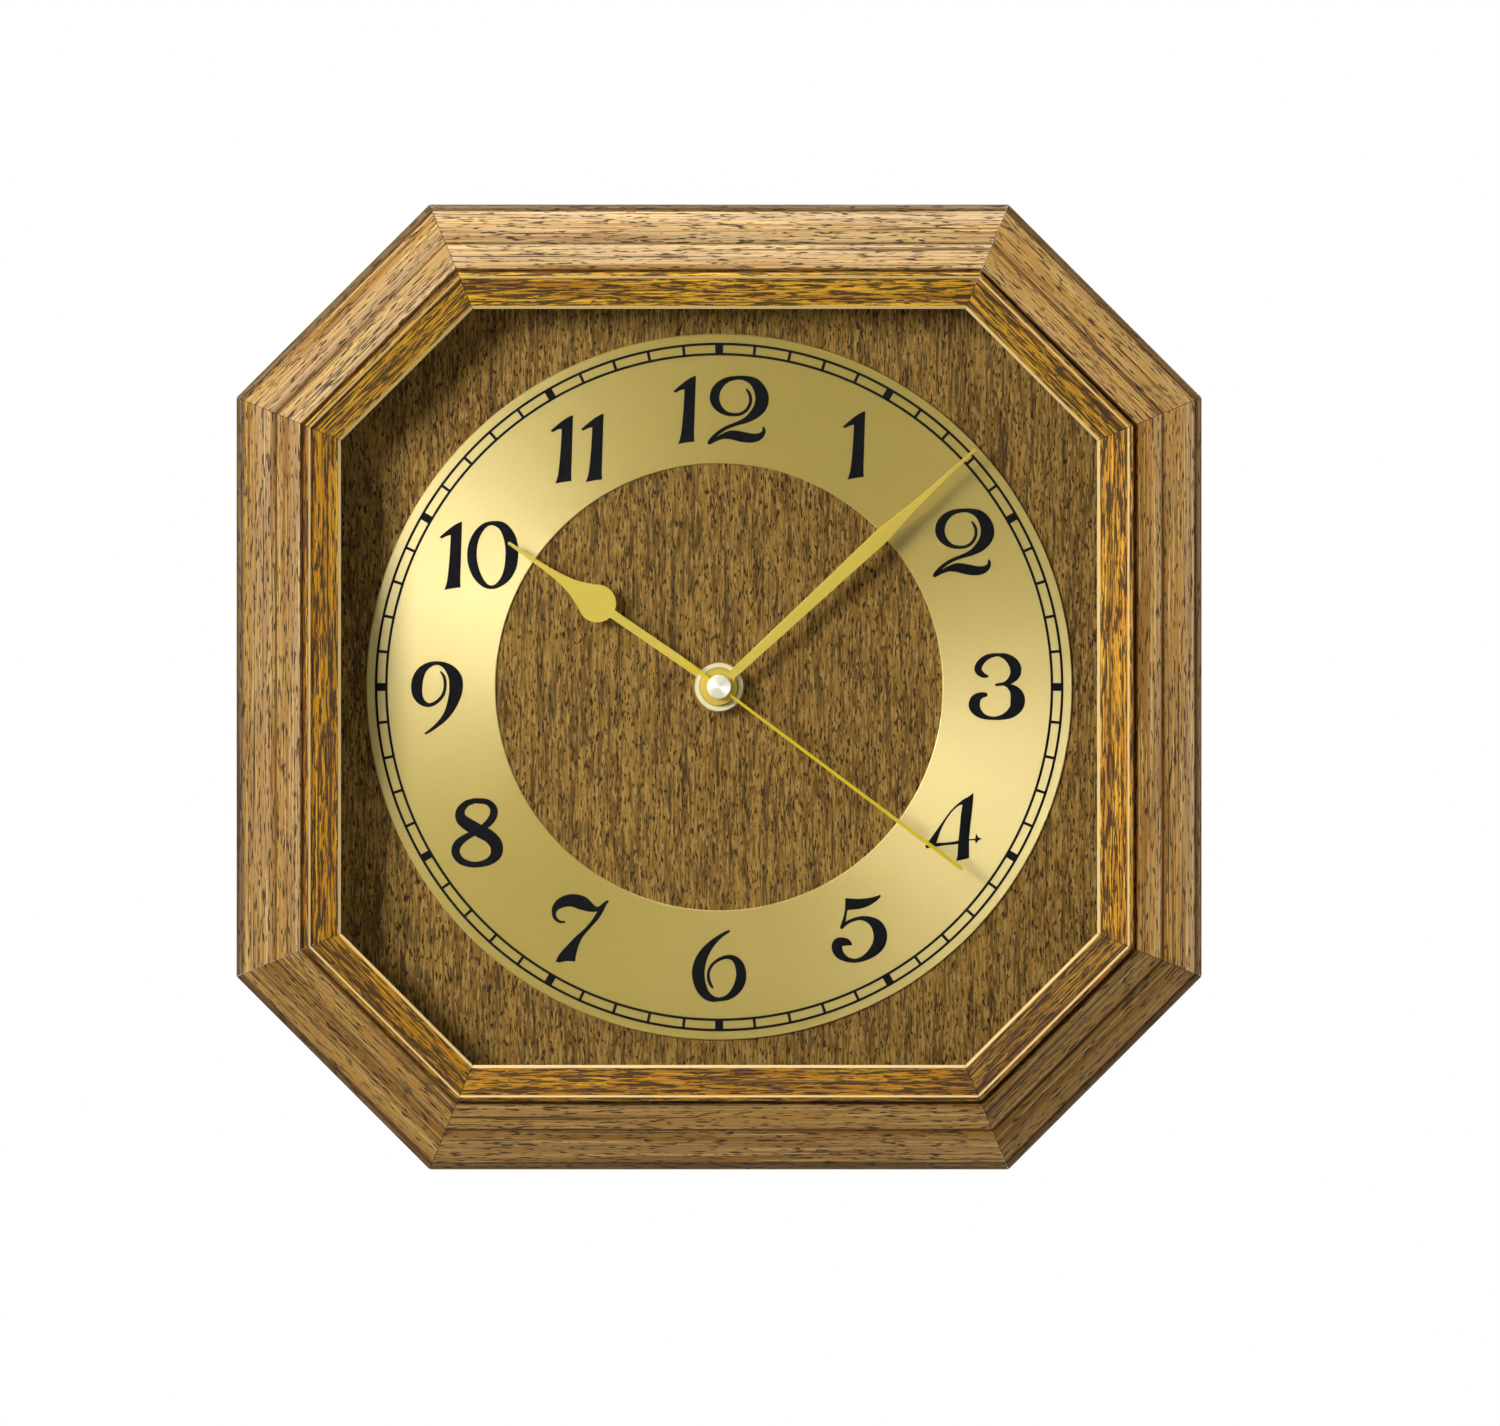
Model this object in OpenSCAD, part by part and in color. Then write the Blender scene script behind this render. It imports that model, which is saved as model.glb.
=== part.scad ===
// Eight-sided oak wall clock with a battery quartz movement.
// The wall is the plane Y = 0, the front faces -Y and +Z is up. The origin is the middle of
// the round hole in the hanger plate, on the wall.
// Every sub-part is drawn face-on around the middle of the dial, with X to the right, Y up
// and Z out from the wall, and at_dial() stands it up. A height above the wall is called z.

/* [Frame] */
// Width and height of the frame over its flats
frame_size = 300; // [290:1:320]
// Length cut from each corner of the square, along each side
corner_cut = 60; // [56:1:66]
// Width of a rail, from its outer edge to the sight edge
rail_w = 32.6; // [32.6:0.1:36]
// Open hairline left at each mitre
mitre_gap = 0.15; // [0.1:0.05:0.3]
// Distance of the hanger hole below the top edge
hanger_drop = 14; // [14:0.5:15]

/* [Dial] */
// Thickness of the dial board
board_t = 4; // [3:0.5:4]
// Outer diameter of the chapter ring
ring_od = 220; // [200:1:224]
// Inner diameter of the chapter ring
ring_id = 139.2; // [120:0.2:150]
// Thickness of the chapter ring
ring_t = 0.8; // [0.6:0.1:1]
// Thickness of the front glass
glass_t = 2; // [2:0.5:3]

/* [Hands] */
// Length of the hour hand, from the centre to its tip
hour_len = 79.5; // [70:0.5:80]
// Length of the minute hand, from the centre to its tip
minute_len = 109; // [100:0.5:110]
// Length of the second hand, from the centre to its tip
second_len = 94.7; // [80:0.1:100]
// Length of the second hand's tail
second_tail = 14.5; // [10:0.5:20]
// Hour that the hands show at rest
rest_hour = 10; // [1:1:12]
// Minute that the hands show at rest
rest_minute = 8; // [0:1:59]
// Second that the hands show at rest
rest_second = 21.1; // [0:0.1:59]

/* [Movement] */
// Width and height of the movement's case
case_size = 56; // [56:0.5:57]
// Wall thickness of the movement's case
case_t = 1; // [0.8:0.1:1]
// Radial clearance of every running fit
run_gap = 0.05; // [0.03:0.01:0.08]

/* [Hidden] */
$fn = 64;
tiny = 0.01;

// Frame: distances from the dial's middle to the outer edges of flat and corner rails
flat_a = frame_size / 2;
corner_a = (frame_size - corner_cut) / sqrt(2);
mitre_tan = tan(22.5);

// Heights above the wall
board_z = 23;
board_front_z = board_z + board_t;
glass_back_z = 41.5;
glass_front_z = glass_back_z + glass_t;
rail_side_z = 36.8;
rail_block_z = 60;

// Moulding: widths in from the outer edge, and the heights of its members
lip_r = 2;
lip_w = 2.3;
first_slope_w = 12.4;
first_slope_z = [39.4, 44.2];
second_slope_w = [12.9, 20];
second_slope_z = [45.4, 49.4];
quirk_w = [20.9, 21.5];
quirk_z = 48.5;
bead_r = 0.95;
bead_z = 50.4;
strip_w = [23.45, 31.7];
strip_z = [49.9, 48.1];
arris_z = 47.1;
glass_rebate = 6;
board_rebate = 9;
rebate_clearance = 0.4;

// Fasteners of the frame
nail_inset = 11;
nail_len = 9;
clip_leg = 10;
clip_w = 12;
clip_t = 1;
clip_screw_z = 14;
screw_r = 1.5;
screw_len = 12;
hanger_w = 42;
hanger_h = 17;
hanger_t = 1.2;
hanger_hole_r = 4;
hanger_slot_r = 1.8;
hanger_slot_up = 5;
hanger_pocket_r = 5.6;
hanger_pocket_t = 8;
hanger_screw_x = 16;

// Movement: heights above the wall
case_back_z = 6.2;
case_split_z = 14;
case_front_z = 22.2;
bay_top_y = -11.6;
bay_back_z = 7.2;
plate_z = 14.3;
plate_t = 0.6;
hour_wheel_z = 18.9;
motion_z = 17.2;
centre_z = 15.4;
third_z = 13.2;
second_z = 11.4;
fifth_z = 9.8;
rotor_z = 9.5;
stator_z = 11.9;
stator_t = 0.8;
inner_front_z = case_front_z - case_t;
inner_back_z = case_back_z + case_t;
half_in = case_size / 2 - case_t;

// Movement: train. Modules, teeth and the distances between arbors
centre_teeth = 64;
third_pinion_teeth = 8;
third_teeth = 60;
second_pinion_teeth = 8;
second_teeth = 50;
fifth_pinion_teeth = 10;
fifth_teeth = 48;
rotor_teeth = 8;
cannon_teeth = 12;
motion_teeth = 36;
motion_pinion_teeth = 10;
hour_teeth = 40;
knob_teeth = 12;
third_dist = 10.8;
fifth_dist = 7.5;
rotor_dist = 6.16;
motion_dist = 10;
third_dir = 20;
fifth_dir = 100;
rotor_dir = 90;
motion_dir = 180;
knob_dir = 90;
third_xy = polar(third_dist, third_dir);
fifth_xy = polar(fifth_dist, fifth_dir);
rotor_xy = fifth_xy + polar(rotor_dist, rotor_dir);
motion_xy = polar(motion_dist, motion_dir);
knob_xy = motion_xy + polar(motion_dist, knob_dir);
pivot_r = 0.3;
arbor_r = 0.5;

// Nested tubes on the centre, and the post of the motion wheel
minute_tube_r = 1.6;
hour_tube_r = 2.5;
bush_r = 4;
post_r = 0.8;
knob_shaft_r = 1.5;

// Heights of the hands and of the ends of their tubes
bush_front_z = 31.2;
hour_hand_z = 32;
hour_tube_z = 32.9;
minute_hand_z = 34.2;
minute_tube_z = 35.9;
second_hand_z = 36.4;
second_arbor_z = 37.9;
hand_t = 0.5;
hour_hub_r = 7.5;
minute_hub_r = 5.5;

// Battery: an AA cell lying across the bottom of the case
battery_r = 7.25;
battery_x = [-24.8, 24.2];
battery_nub = [2.75, 1.5];
battery_yz = [-19.3, 13.7];

// Angles of the hands at rest, clockwise from twelve
minute_angle = 6 * (rest_minute + rest_second / 60) - 2.95;
hour_angle = 30 * rest_hour + rest_minute / 2 + 0.4;
second_angle = 6 * rest_second + 0.25;

function polar(r, a) = r * [cos(a), sin(a)];

function arc(c, r, a0, a1, n) = [
  for (i = [0 : n]) c + polar(r, a0 + (a1 - a0) * i / n)
];

// An ovolo between two points: it leaves the first steeply and reaches the second nearly flat
function ovolo(p, q, power, n) = [
  for (i = [0 : n])
    let (t = i / n)
    [p[0] + (q[0] - p[0]) * t, p[1] + (q[1] - p[1]) * (1 - pow(1 - t, power))]
];

function round_rect(w, h, r, n = 5) = concat(
  arc([w / 2 - r, h / 2 - r], r, 0, 90, n),
  arc([r - w / 2, h / 2 - r], r, 90, 180, n),
  arc([r - w / 2, r - h / 2], r, 180, 270, n),
  arc([w / 2 - r, r - h / 2], r, 270, 360, n)
);

// Corners of the eight-sided outline, a given distance inside the frame's outer edge
function octagon(inset) =
  let (a = flat_a - inset, c = (corner_a - inset) * sqrt(2) - a)
  [[c, a], [a, c], [a, -c], [c, -a], [-c, -a], [-a, -c], [-a, c], [-c, a]];

function is_flat(i) = i % 2 == 0;
function rail_a(i) = is_flat(i) ? flat_a : corner_a;
function rail_half(i) = is_flat(i) ? flat_a - corner_cut : corner_cut / sqrt(2);

// Outline of a gear: radial flanks below the pitch circle, tapered teeth above it.
// Wheels have slightly fatter and taller teeth than pinions.
function gear(teeth, pitch_r, phase, pinion = false) =
  let (
    m = 2 * pitch_r / teeth,
    half = 180 / teeth * (pinion ? 0.38 : 0.44),
    root = pitch_r - m * (pinion ? 1.25 : 1.2),
    tip = pitch_r + m * (pinion ? 0.75 : 0.9)
  )
  [
    for (i = [0 : teeth - 1])
      let (a = phase + 360 * i / teeth)
      for (p = [[root, -1], [pitch_r, -1], [tip, -0.45], [tip, 0.45], [pitch_r, 1], [root, 1]])
        polar(p[0], a + half * p[1])
  ];

// Phase that puts a second gear in mesh with a first one that lies in direction dir from it
function mesh_phase(teeth, phase, next_teeth, dir) =
  dir + 180 - (180 - teeth * (dir - phase)) / next_teeth;

// Pitch radii, from each distance and its two tooth counts
function pitch(dist, teeth, mate) = dist * teeth / (teeth + mate);

module at_dial() {
  translate([0, 0, hanger_drop - flat_a]) rotate([90, 0, 0]) children();
}

// Between two heights above the wall
module slab(z0, z1) {
  translate([0, 0, z0]) linear_extrude(z1 - z0) children();
}

module rod(x, y, r, z0, z1) {
  translate([x, y, z0]) cylinder(r = r, h = z1 - z0);
}

// Turns a rail's own drawing, made with the rail at the top, to the place of rail i
module at_rail(i) {
  rotate([0, 0, -45 * i]) children();
}

// ---------------------------------------------------------------- frame

function rail_profile() = concat(
  [[0.8, 0], [0, 0.8]],
  arc([lip_r, rail_side_z], lip_r, 180, 90, 6),
  [[lip_w, rail_side_z + lip_r]],
  ovolo([lip_w, first_slope_z[0]], [first_slope_w, first_slope_z[1]], 1.9, 8),
  ovolo([second_slope_w[0], second_slope_z[0]], [second_slope_w[1], second_slope_z[1]], 1.25, 5),
  [[quirk_w[0], quirk_z], [quirk_w[1], quirk_z]],
  arc([quirk_w[1] + bead_r, bead_z], bead_r, 180, 0, 12),
  [[strip_w[0], strip_z[0]], [strip_w[1], strip_z[1]], [rail_w, arris_z]],
  [[rail_w, glass_front_z], [rail_w - glass_rebate, glass_front_z]],
  [[rail_w - glass_rebate, board_front_z], [rail_w - board_rebate, board_front_z]],
  [[rail_w - board_rebate, 0]]
);

// A stick of rail i with the given cross-section, cut to its two mitres
module mitred(i, profile) {
  a = rail_a(i);
  h = rail_half(i) - mitre_gap / 2 / cos(22.5);
  intersection() {
    translate([-h - 1, 0, 0]) rotate([90, 0, 90]) linear_extrude(2 * h + 2)
      polygon([for (p = profile) [a - p[0], p[1]]]);
    linear_extrude(rail_block_z) polygon([
      [-h - mitre_tan, a + 1], [h + mitre_tan, a + 1],
      [h - 40 * mitre_tan, a - 40], [40 * mitre_tan - h, a - 40]
    ]);
  }
}

// Where the nail of corner i is driven, and its shape
module v_nail(i) {
  c = octagon(0)[i];
  dir = 67.5 - 45 * i;
  at = c - polar(nail_inset / cos(22.5), dir);
  translate([at[0], at[1], 0]) rotate([0, 0, dir - 90]) linear_extrude(nail_len)
    polygon([[0, 3], [4.2, -2.4], [3.7, -2.8], [0, 2.1], [-3.7, -2.8], [-4.2, -2.4]]);
}

module corner_v_nails() {
  color("silver") at_dial() for (i = [0 : 7]) v_nail(i);
}

module oak_rail(i) {
  difference() {
    at_rail(i) mitred(i, rail_profile());
    v_nail(i);
    v_nail((i + 7) % 8);
  }
}

module flat_oak_rail(i) {
  color([0.64, 0.48, 0.26]) at_dial() oak_rail(i);
}

// A corner rail also takes the screw of a dial clip
module corner_oak_rail(i) {
  color([0.64, 0.48, 0.26]) at_dial() difference() {
    oak_rail(i);
    at_rail(i) clip_screw_shank();
  }
}

module top_rail() {
  color([0.64, 0.48, 0.26]) at_dial() difference() {
    oak_rail(0);
    slab(-tiny, hanger_t) translate([0, hanger_mid_y()])
      polygon(round_rect(hanger_w, hanger_h, 3));
    hanger_pocket();
    hanger_screw_shanks();
  }
}

module upper_right_rail() corner_oak_rail(1);
module right_rail() flat_oak_rail(2);
module lower_right_rail() corner_oak_rail(3);
module bottom_rail() flat_oak_rail(4);
module lower_left_rail() corner_oak_rail(5);
module left_rail() flat_oak_rail(6);
module upper_left_rail() corner_oak_rail(7);

module front_glass() {
  color([0.85, 0.92, 0.92, 0.3]) at_dial() slab(glass_back_z, glass_front_z)
    polygon(octagon(rail_w - glass_rebate + rebate_clearance));
}

// Eight sticks that stand between the dial board and the glass, behind the sight edge
module spacer_strips() {
  w0 = rail_w - glass_rebate + 0.2;
  w1 = rail_w - 0.8;
  color([0.2, 0.13, 0.07]) at_dial() for (i = [0 : 7]) at_rail(i) mitred(i, [
    [w0, board_front_z], [w0, glass_back_z], [w1, glass_back_z], [w1, board_front_z]
  ]);
}

module dial_board() {
  color([0.45, 0.34, 0.17]) at_dial() difference() {
    slab(board_z, board_front_z) polygon(octagon(rail_w - board_rebate + rebate_clearance));
    rod(0, 0, bush_r + 0.3, board_z - 1, board_front_z + 1);
  }
}

module chapter_ring() {
  color([0.76, 0.68, 0.4]) at_dial() translate([0, 0, board_front_z]) rotate_extrude($fn = 180)
    polygon([
      [ring_id / 2, 0], [ring_od / 2, 0], [ring_od / 2, ring_t - 0.3],
      [ring_od / 2 - 0.3, ring_t], [ring_id / 2 + 0.3, ring_t], [ring_id / 2, ring_t - 0.3]
    ]);
}

// Inner wall of a corner rail, where a clip stands
function clip_wall_y() = corner_a - rail_w + board_rebate;

module clip_screw_shank() {
  translate([0, clip_wall_y() - clip_t - tiny, clip_screw_z]) rotate([-90, 0, 0])
    cylinder(r = screw_r, h = screw_len + clip_t + tiny);
}

// Angle brackets between the back of the dial board and the four corner rails
module dial_clips() {
  y = clip_wall_y();
  color("gainsboro") at_dial() for (i = [1, 3, 5, 7]) at_rail(i) difference() {
    translate([clip_w / 2, 0, 0]) rotate([90, 0, -90]) linear_extrude(clip_w) polygon([
      [-y, board_z], [-y, board_z - 14], [-y + clip_t, board_z - 14],
      [-y + clip_t, board_z - clip_t], [-y + clip_leg, board_z - clip_t], [-y + clip_leg, board_z]
    ]);
    clip_screw_shank();
  }
}

// A round head with a cross slot and a shank, along +Z from the underside of the head
module screw(head_r, head_t, len) {
  difference() {
    union() {
      translate([0, 0, -head_t]) cylinder(r1 = head_r * 0.7, r2 = head_r, h = head_t);
      cylinder(r = screw_r, h = len);
    }
    for (a = [0, 90])
      rotate([0, 0, a]) translate([-head_r * 0.55, -0.25, -head_t - 1])
        cube([head_r * 1.1, 0.5, 1 + head_t * 0.6]);
  }
}

module clip_screws() {
  color("gainsboro") at_dial() for (i = [1, 3, 5, 7]) at_rail(i)
    translate([0, clip_wall_y() - clip_t, clip_screw_z]) rotate([-90, 0, 0])
      screw(2.9, 1.6, screw_len);
}

// The hanger's middle; its round hole is at the origin of the whole clock
function hanger_hole_y() = flat_a - hanger_drop;
function hanger_mid_y() = hanger_hole_y() + 1.6;

module hanger_pocket() {
  for (y = [0, hanger_slot_up / 2, hanger_slot_up])
    rod(0, hanger_hole_y() + y, hanger_pocket_r, hanger_t - tiny, hanger_t + hanger_pocket_t);
}

module hanger_screw_shanks() {
  for (s = [-1, 1])
    rod(s * hanger_screw_x, hanger_mid_y(), screw_r, hanger_t - tiny, hanger_t + screw_len);
}

module hanger_plate() {
  color("goldenrod") at_dial() difference() {
    slab(0, hanger_t) translate([0, hanger_mid_y()])
      polygon(round_rect(hanger_w - 0.2, hanger_h - 0.2, 2.9));
    rod(0, hanger_hole_y(), hanger_hole_r, -1, hanger_t + 1);
    rod(0, hanger_hole_y() + hanger_slot_up, hanger_slot_r, -1, hanger_t + 1);
    translate([-hanger_slot_r, hanger_hole_y(), -1])
      cube([2 * hanger_slot_r, hanger_slot_up, hanger_t + 2]);
    for (s = [-1, 1]) translate([s * hanger_screw_x, hanger_mid_y(), 0]) {
      translate([0, 0, -tiny]) cylinder(r1 = 2.8 + tiny, r2 = screw_r, h = hanger_t + tiny);
      cylinder(r = screw_r, h = hanger_t + 1);
    }
  }
}

// Countersunk screws, flush with the wall side of the hanger plate
module hanger_screws() {
  color("goldenrod") at_dial() for (s = [-1, 1])
    translate([s * hanger_screw_x, hanger_mid_y(), 0]) difference() {
      union() {
        cylinder(r1 = 2.8, r2 = screw_r, h = hanger_t);
        translate([0, 0, hanger_t - tiny]) cylinder(r = screw_r, h = screw_len + tiny);
      }
      for (a = [0, 90]) rotate([0, 0, a]) translate([-1.6, -0.25, -1]) cube([3.2, 0.5, 1.7]);
    }
}

// ---------------------------------------------------------------- movement's case and fixing

// Blind hole for a pivot, open towards the train
module pivot_hole(xy, z0, z1) {
  rod(xy[0], xy[1], pivot_r + run_gap, z0, z1);
}

module movement_front_case() {
  half = case_size / 2;
  color([0.13, 0.13, 0.14]) at_dial() difference() {
    union() {
      difference() {
        union() {
          slab(case_split_z, case_front_z) polygon(round_rect(case_size, case_size, 2));
          slab(bay_back_z, case_split_z + 1) intersection() {
            polygon(round_rect(case_size, case_size, 2));
            translate([-half, -half]) square([case_size, half + bay_top_y]);
          }
        }
        translate([-half_in, bay_top_y + case_t, case_split_z - 1])
          cube([2 * half_in, half_in - bay_top_y - case_t, inner_front_z - case_split_z + 1]);
        translate([-half_in, -half_in, bay_back_z - 1])
          cube([2 * half_in, half_in + bay_top_y, inner_front_z - bay_back_z + 1]);
        // Finger notch in the outer wall of the battery bay
        translate([0, -half - 1, bay_back_z]) rotate([-90, 0, 0]) cylinder(r = 7, h = case_t + 2);
      }
      rod(third_xy[0], third_xy[1], 1.1, 17.4, inner_front_z + tiny);
      rod(knob_xy[0], knob_xy[1], 2, 18.8, inner_front_z + tiny);
      rod(motion_xy[0], motion_xy[1], post_r, 16.9, inner_front_z + tiny);
      // Four pillars carry the middle plate
      for (x = [-23.5, 23.5], y = [-7, 15]) rod(x, y, 1.8, plate_z + plate_t, inner_front_z + tiny);
    }
    rod(0, 0, bush_r + 0.05, inner_front_z - 1, case_front_z + 1);
    pivot_hole(third_xy, 17, 19.2);
    rod(knob_xy[0], knob_xy[1], post_r + run_gap, 18, 20);
  }
}

module movement_back_case() {
  color([0.13, 0.13, 0.14]) at_dial() difference() {
    union() {
      difference() {
        slab(case_back_z, case_split_z) intersection() {
          polygon(round_rect(case_size, case_size, 2));
          translate([-case_size / 2, bay_top_y]) square([case_size, case_size]);
        }
        translate([-half_in, bay_top_y + case_t, inner_back_z])
          cube([2 * half_in, half_in - bay_top_y - case_t, case_split_z]);
      }
      for (p = [rotor_xy, fifth_xy, third_xy, [0, 0]])
        rod(p[0], p[1], 1.2, inner_back_z - tiny, 8.4);
      // Posts that the circuit board rests on
      for (y = [-7, 23]) rod(20.7, y, 1.8, inner_back_z - tiny, 8.4);
      // Raised ring around the setting knob
      difference() {
        rod(knob_xy[0], knob_xy[1], 7.6, case_back_z - 0.6, case_back_z + tiny);
        rod(knob_xy[0], knob_xy[1], 6.6, case_back_z - 1, case_back_z + 1);
      }
    }
    for (p = [rotor_xy, fifth_xy, third_xy, [0, 0]]) pivot_hole(p, 7.2, 9);
    rod(knob_xy[0], knob_xy[1], knob_shaft_r + run_gap, case_back_z - 1, inner_back_z + 1);
  }
}

module middle_plate() {
  color([0.85, 0.85, 0.82]) at_dial() difference() {
    slab(plate_z, plate_z + plate_t) translate([0, 4]) polygon(round_rect(52, 27, 2));
    rod(0, 0, arbor_r + run_gap, plate_z - 1, plate_z + 2);
    rod(third_xy[0], third_xy[1], 1.8, plate_z - 1, plate_z + 2);
    rod(knob_xy[0], knob_xy[1], knob_shaft_r + 0.5, plate_z - 1, plate_z + 2);
    pivot_hole(fifth_xy, plate_z - 1, plate_z + 2);
    pivot_hole(rotor_xy, plate_z - 1, plate_z + 2);
  }
}

module threaded_bush() {
  color("goldenrod") at_dial() difference() {
    union() {
      rod(0, 0, 5.5, inner_front_z - 1, inner_front_z);
      rod(0, 0, bush_r, inner_front_z - tiny, bush_front_z - 0.5);
      translate([0, 0, bush_front_z - 0.5 - tiny])
        cylinder(r1 = bush_r, r2 = bush_r - 0.5, h = 0.5 + tiny);
    }
    rod(0, 0, hour_tube_r + run_gap, inner_front_z - 2, bush_front_z + 1);
  }
}

module rubber_washer() {
  color([0.1, 0.1, 0.1]) at_dial() difference() {
    rod(0, 0, 11, case_front_z, board_z);
    rod(0, 0, bush_r + 0.1, case_front_z - 1, board_z + 1);
  }
}

module flat_washer() {
  color("goldenrod") at_dial() difference() {
    rod(0, 0, 8, board_front_z, board_front_z + 0.6);
    rod(0, 0, bush_r + 0.2, board_front_z - 1, board_front_z + 2);
  }
}

module hex_nut() {
  z0 = board_front_z + 0.6;
  color("goldenrod") at_dial() difference() {
    intersection() {
      translate([0, 0, z0]) cylinder(r = 5.5 / cos(30), h = 2.4, $fn = 6);
      translate([0, 0, z0 - 1]) cylinder(r1 = 9.65, r2 = 5.65, h = 4);
    }
    rod(0, 0, bush_r + 0.04, z0 - 1, z0 + 4);
  }
}

// ---------------------------------------------------------------- movement's electrics

module circuit_board() {
  color([0.1, 0.38, 0.2]) at_dial() difference() {
    slab(8.4, 9.2) polygon([[15.5, -10], [26.4, -10], [26.4, 26], [15.5, 26]]);
    for (y = [-7, 23]) rod(20.7, y, 0.9, 8, 10);
  }
}

// Watch crystal: a small can lying on the board
module quartz_crystal() {
  color("silver") at_dial() translate([20.7, 4, 9.2 + 1.5]) rotate([-90, 0, 0])
    rotate_extrude() polygon([[0, 0], [1.3, 0], [1.5, 0.2], [1.5, 7.6], [1.1, 8], [0, 8]]);
}

// Controller under a drop of black resin
module controller_chip() {
  color([0.06, 0.06, 0.07]) at_dial() translate([20.7, -1.5, 9.2]) rotate_extrude()
    polygon(concat([[0, 0]], [for (a = [0 : 15 : 90]) [3.2 * cos(a), 1.1 * sin(a)]]));
}

coil_x = [-6, 8];
coil_y = 22.5;
coil_z = 13.1;
core_w = 3;
core_t = 0.8;

module coil_bobbin() {
  color([0.9, 0.9, 0.86]) at_dial() difference() {
    union() {
      translate([coil_x[0], coil_y - 2.1, coil_z - 1]) cube([coil_x[1] - coil_x[0], 4.2, 2]);
      for (x = [coil_x[0], coil_x[1] - 1]) translate([x, coil_y - 3.9, coil_z - 3.9])
        cube([1, 7.8, 7.8]);
    }
    translate([coil_x[0] - 1, coil_y - core_w / 2 - 0.1, coil_z - core_t / 2 - 0.1])
      cube([coil_x[1] - coil_x[0] + 2, core_w + 0.2, core_t + 0.2]);
  }
}

module coil_winding() {
  color([0.72, 0.36, 0.16]) at_dial() difference() {
    translate([coil_x[0] + 1, coil_y, coil_z]) rotate([0, 90, 0])
      cylinder(r = 3.5, h = coil_x[1] - coil_x[0] - 2);
    translate([coil_x[0], coil_y - 2.1, coil_z - 1]) cube([coil_x[1] - coil_x[0], 4.2, 2]);
  }
}

module coil_core() {
  color([0.6, 0.6, 0.62]) at_dial()
    translate([-12, coil_y - core_w / 2, coil_z - core_t / 2]) cube([26, core_w, core_t]);
}

// Soft iron plate: two wings that join around the rotor's hole
module stator() {
  c = rotor_xy;
  color([0.6, 0.6, 0.62]) at_dial() difference() {
    union() {
      rod(c[0], c[1], 4.2, stator_z, stator_z + stator_t);
      slab(stator_z, stator_z + stator_t) polygon([
        [c[0], 10.2], [c[0], 17.2], [-7.5, 18.2], [-7.5, 24], [-12, 24], [-12, 17]
      ]);
      slab(stator_z, stator_z + stator_t) polygon([
        [c[0] - 1, 10.2], [14, 17], [14, 24], [9.5, 24], [9.5, 18.2], [c[0] - 1, 17.2]
      ]);
    }
    rod(c[0], c[1], 3.1, stator_z - 1, stator_z + 2);
  }
}

// ---------------------------------------------------------------- movement's train

module toothed(xy, outline, z0, z1) {
  slab(z0, z1) translate(xy) polygon(outline);
}

// A stepped arbor with a thin pivot at each end
module arbor(xy, z0, z1) {
  rod(xy[0], xy[1], arbor_r, z0, z1);
  rod(xy[0], xy[1], pivot_r, z0 - 1, z0 + tiny);
  rod(xy[0], xy[1], pivot_r, z1 - tiny, z1 + 0.6);
}

module rotor() {
  phase = mesh_phase(fifth_teeth, 0, rotor_teeth, rotor_dir);
  color([0.35, 0.35, 0.38]) at_dial() union() {
    arbor(rotor_xy, 8.5, plate_z - 0.2);
    rod(rotor_xy[0], rotor_xy[1], 2.7, stator_z - 0.5, stator_z + stator_t + 0.5);
    toothed(
      rotor_xy, gear(rotor_teeth, pitch(rotor_dist, rotor_teeth, fifth_teeth), phase, true),
      rotor_z, rotor_z + 1.2
    );
  }
}

module fifth_wheel() {
  phase = mesh_phase(second_teeth, 0, fifth_pinion_teeth, fifth_dir);
  color([0.92, 0.9, 0.84]) at_dial() union() {
    arbor(fifth_xy, 8.5, plate_z - 0.2);
    toothed(
      fifth_xy, gear(fifth_teeth, pitch(rotor_dist, fifth_teeth, rotor_teeth), 0),
      fifth_z, fifth_z + 0.6
    );
    toothed(
      fifth_xy,
      gear(fifth_pinion_teeth, pitch(fifth_dist, fifth_pinion_teeth, second_teeth), phase, true),
      second_z - 0.3, second_z + 0.9
    );
  }
}

module second_wheel() {
  phase = mesh_phase(third_teeth, 0, second_pinion_teeth, third_dir + 180);
  color([0.92, 0.9, 0.84]) at_dial() union() {
    rod(0, 0, pivot_r, 7.5, 8.6);
    rod(0, 0, arbor_r, 8.5, second_arbor_z);
    toothed(
      [0, 0], gear(second_teeth, pitch(fifth_dist, second_teeth, fifth_pinion_teeth), 0),
      second_z, second_z + 0.6
    );
    toothed(
      [0, 0], gear(second_pinion_teeth, pitch(third_dist, second_pinion_teeth, third_teeth), phase, true),
      third_z - 0.3, third_z + 0.9
    );
  }
}

module third_wheel() {
  phase = mesh_phase(centre_teeth, 0, third_pinion_teeth, third_dir);
  color([0.92, 0.9, 0.84]) at_dial() union() {
    arbor(third_xy, 8.5, 17.3);
    toothed(
      third_xy, gear(third_teeth, pitch(third_dist, third_teeth, second_pinion_teeth), 0),
      third_z, third_z + 0.6
    );
    toothed(
      third_xy,
      gear(third_pinion_teeth, pitch(third_dist, third_pinion_teeth, centre_teeth), phase, true),
      centre_z - 0.2, centre_z + 1
    );
  }
}

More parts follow.
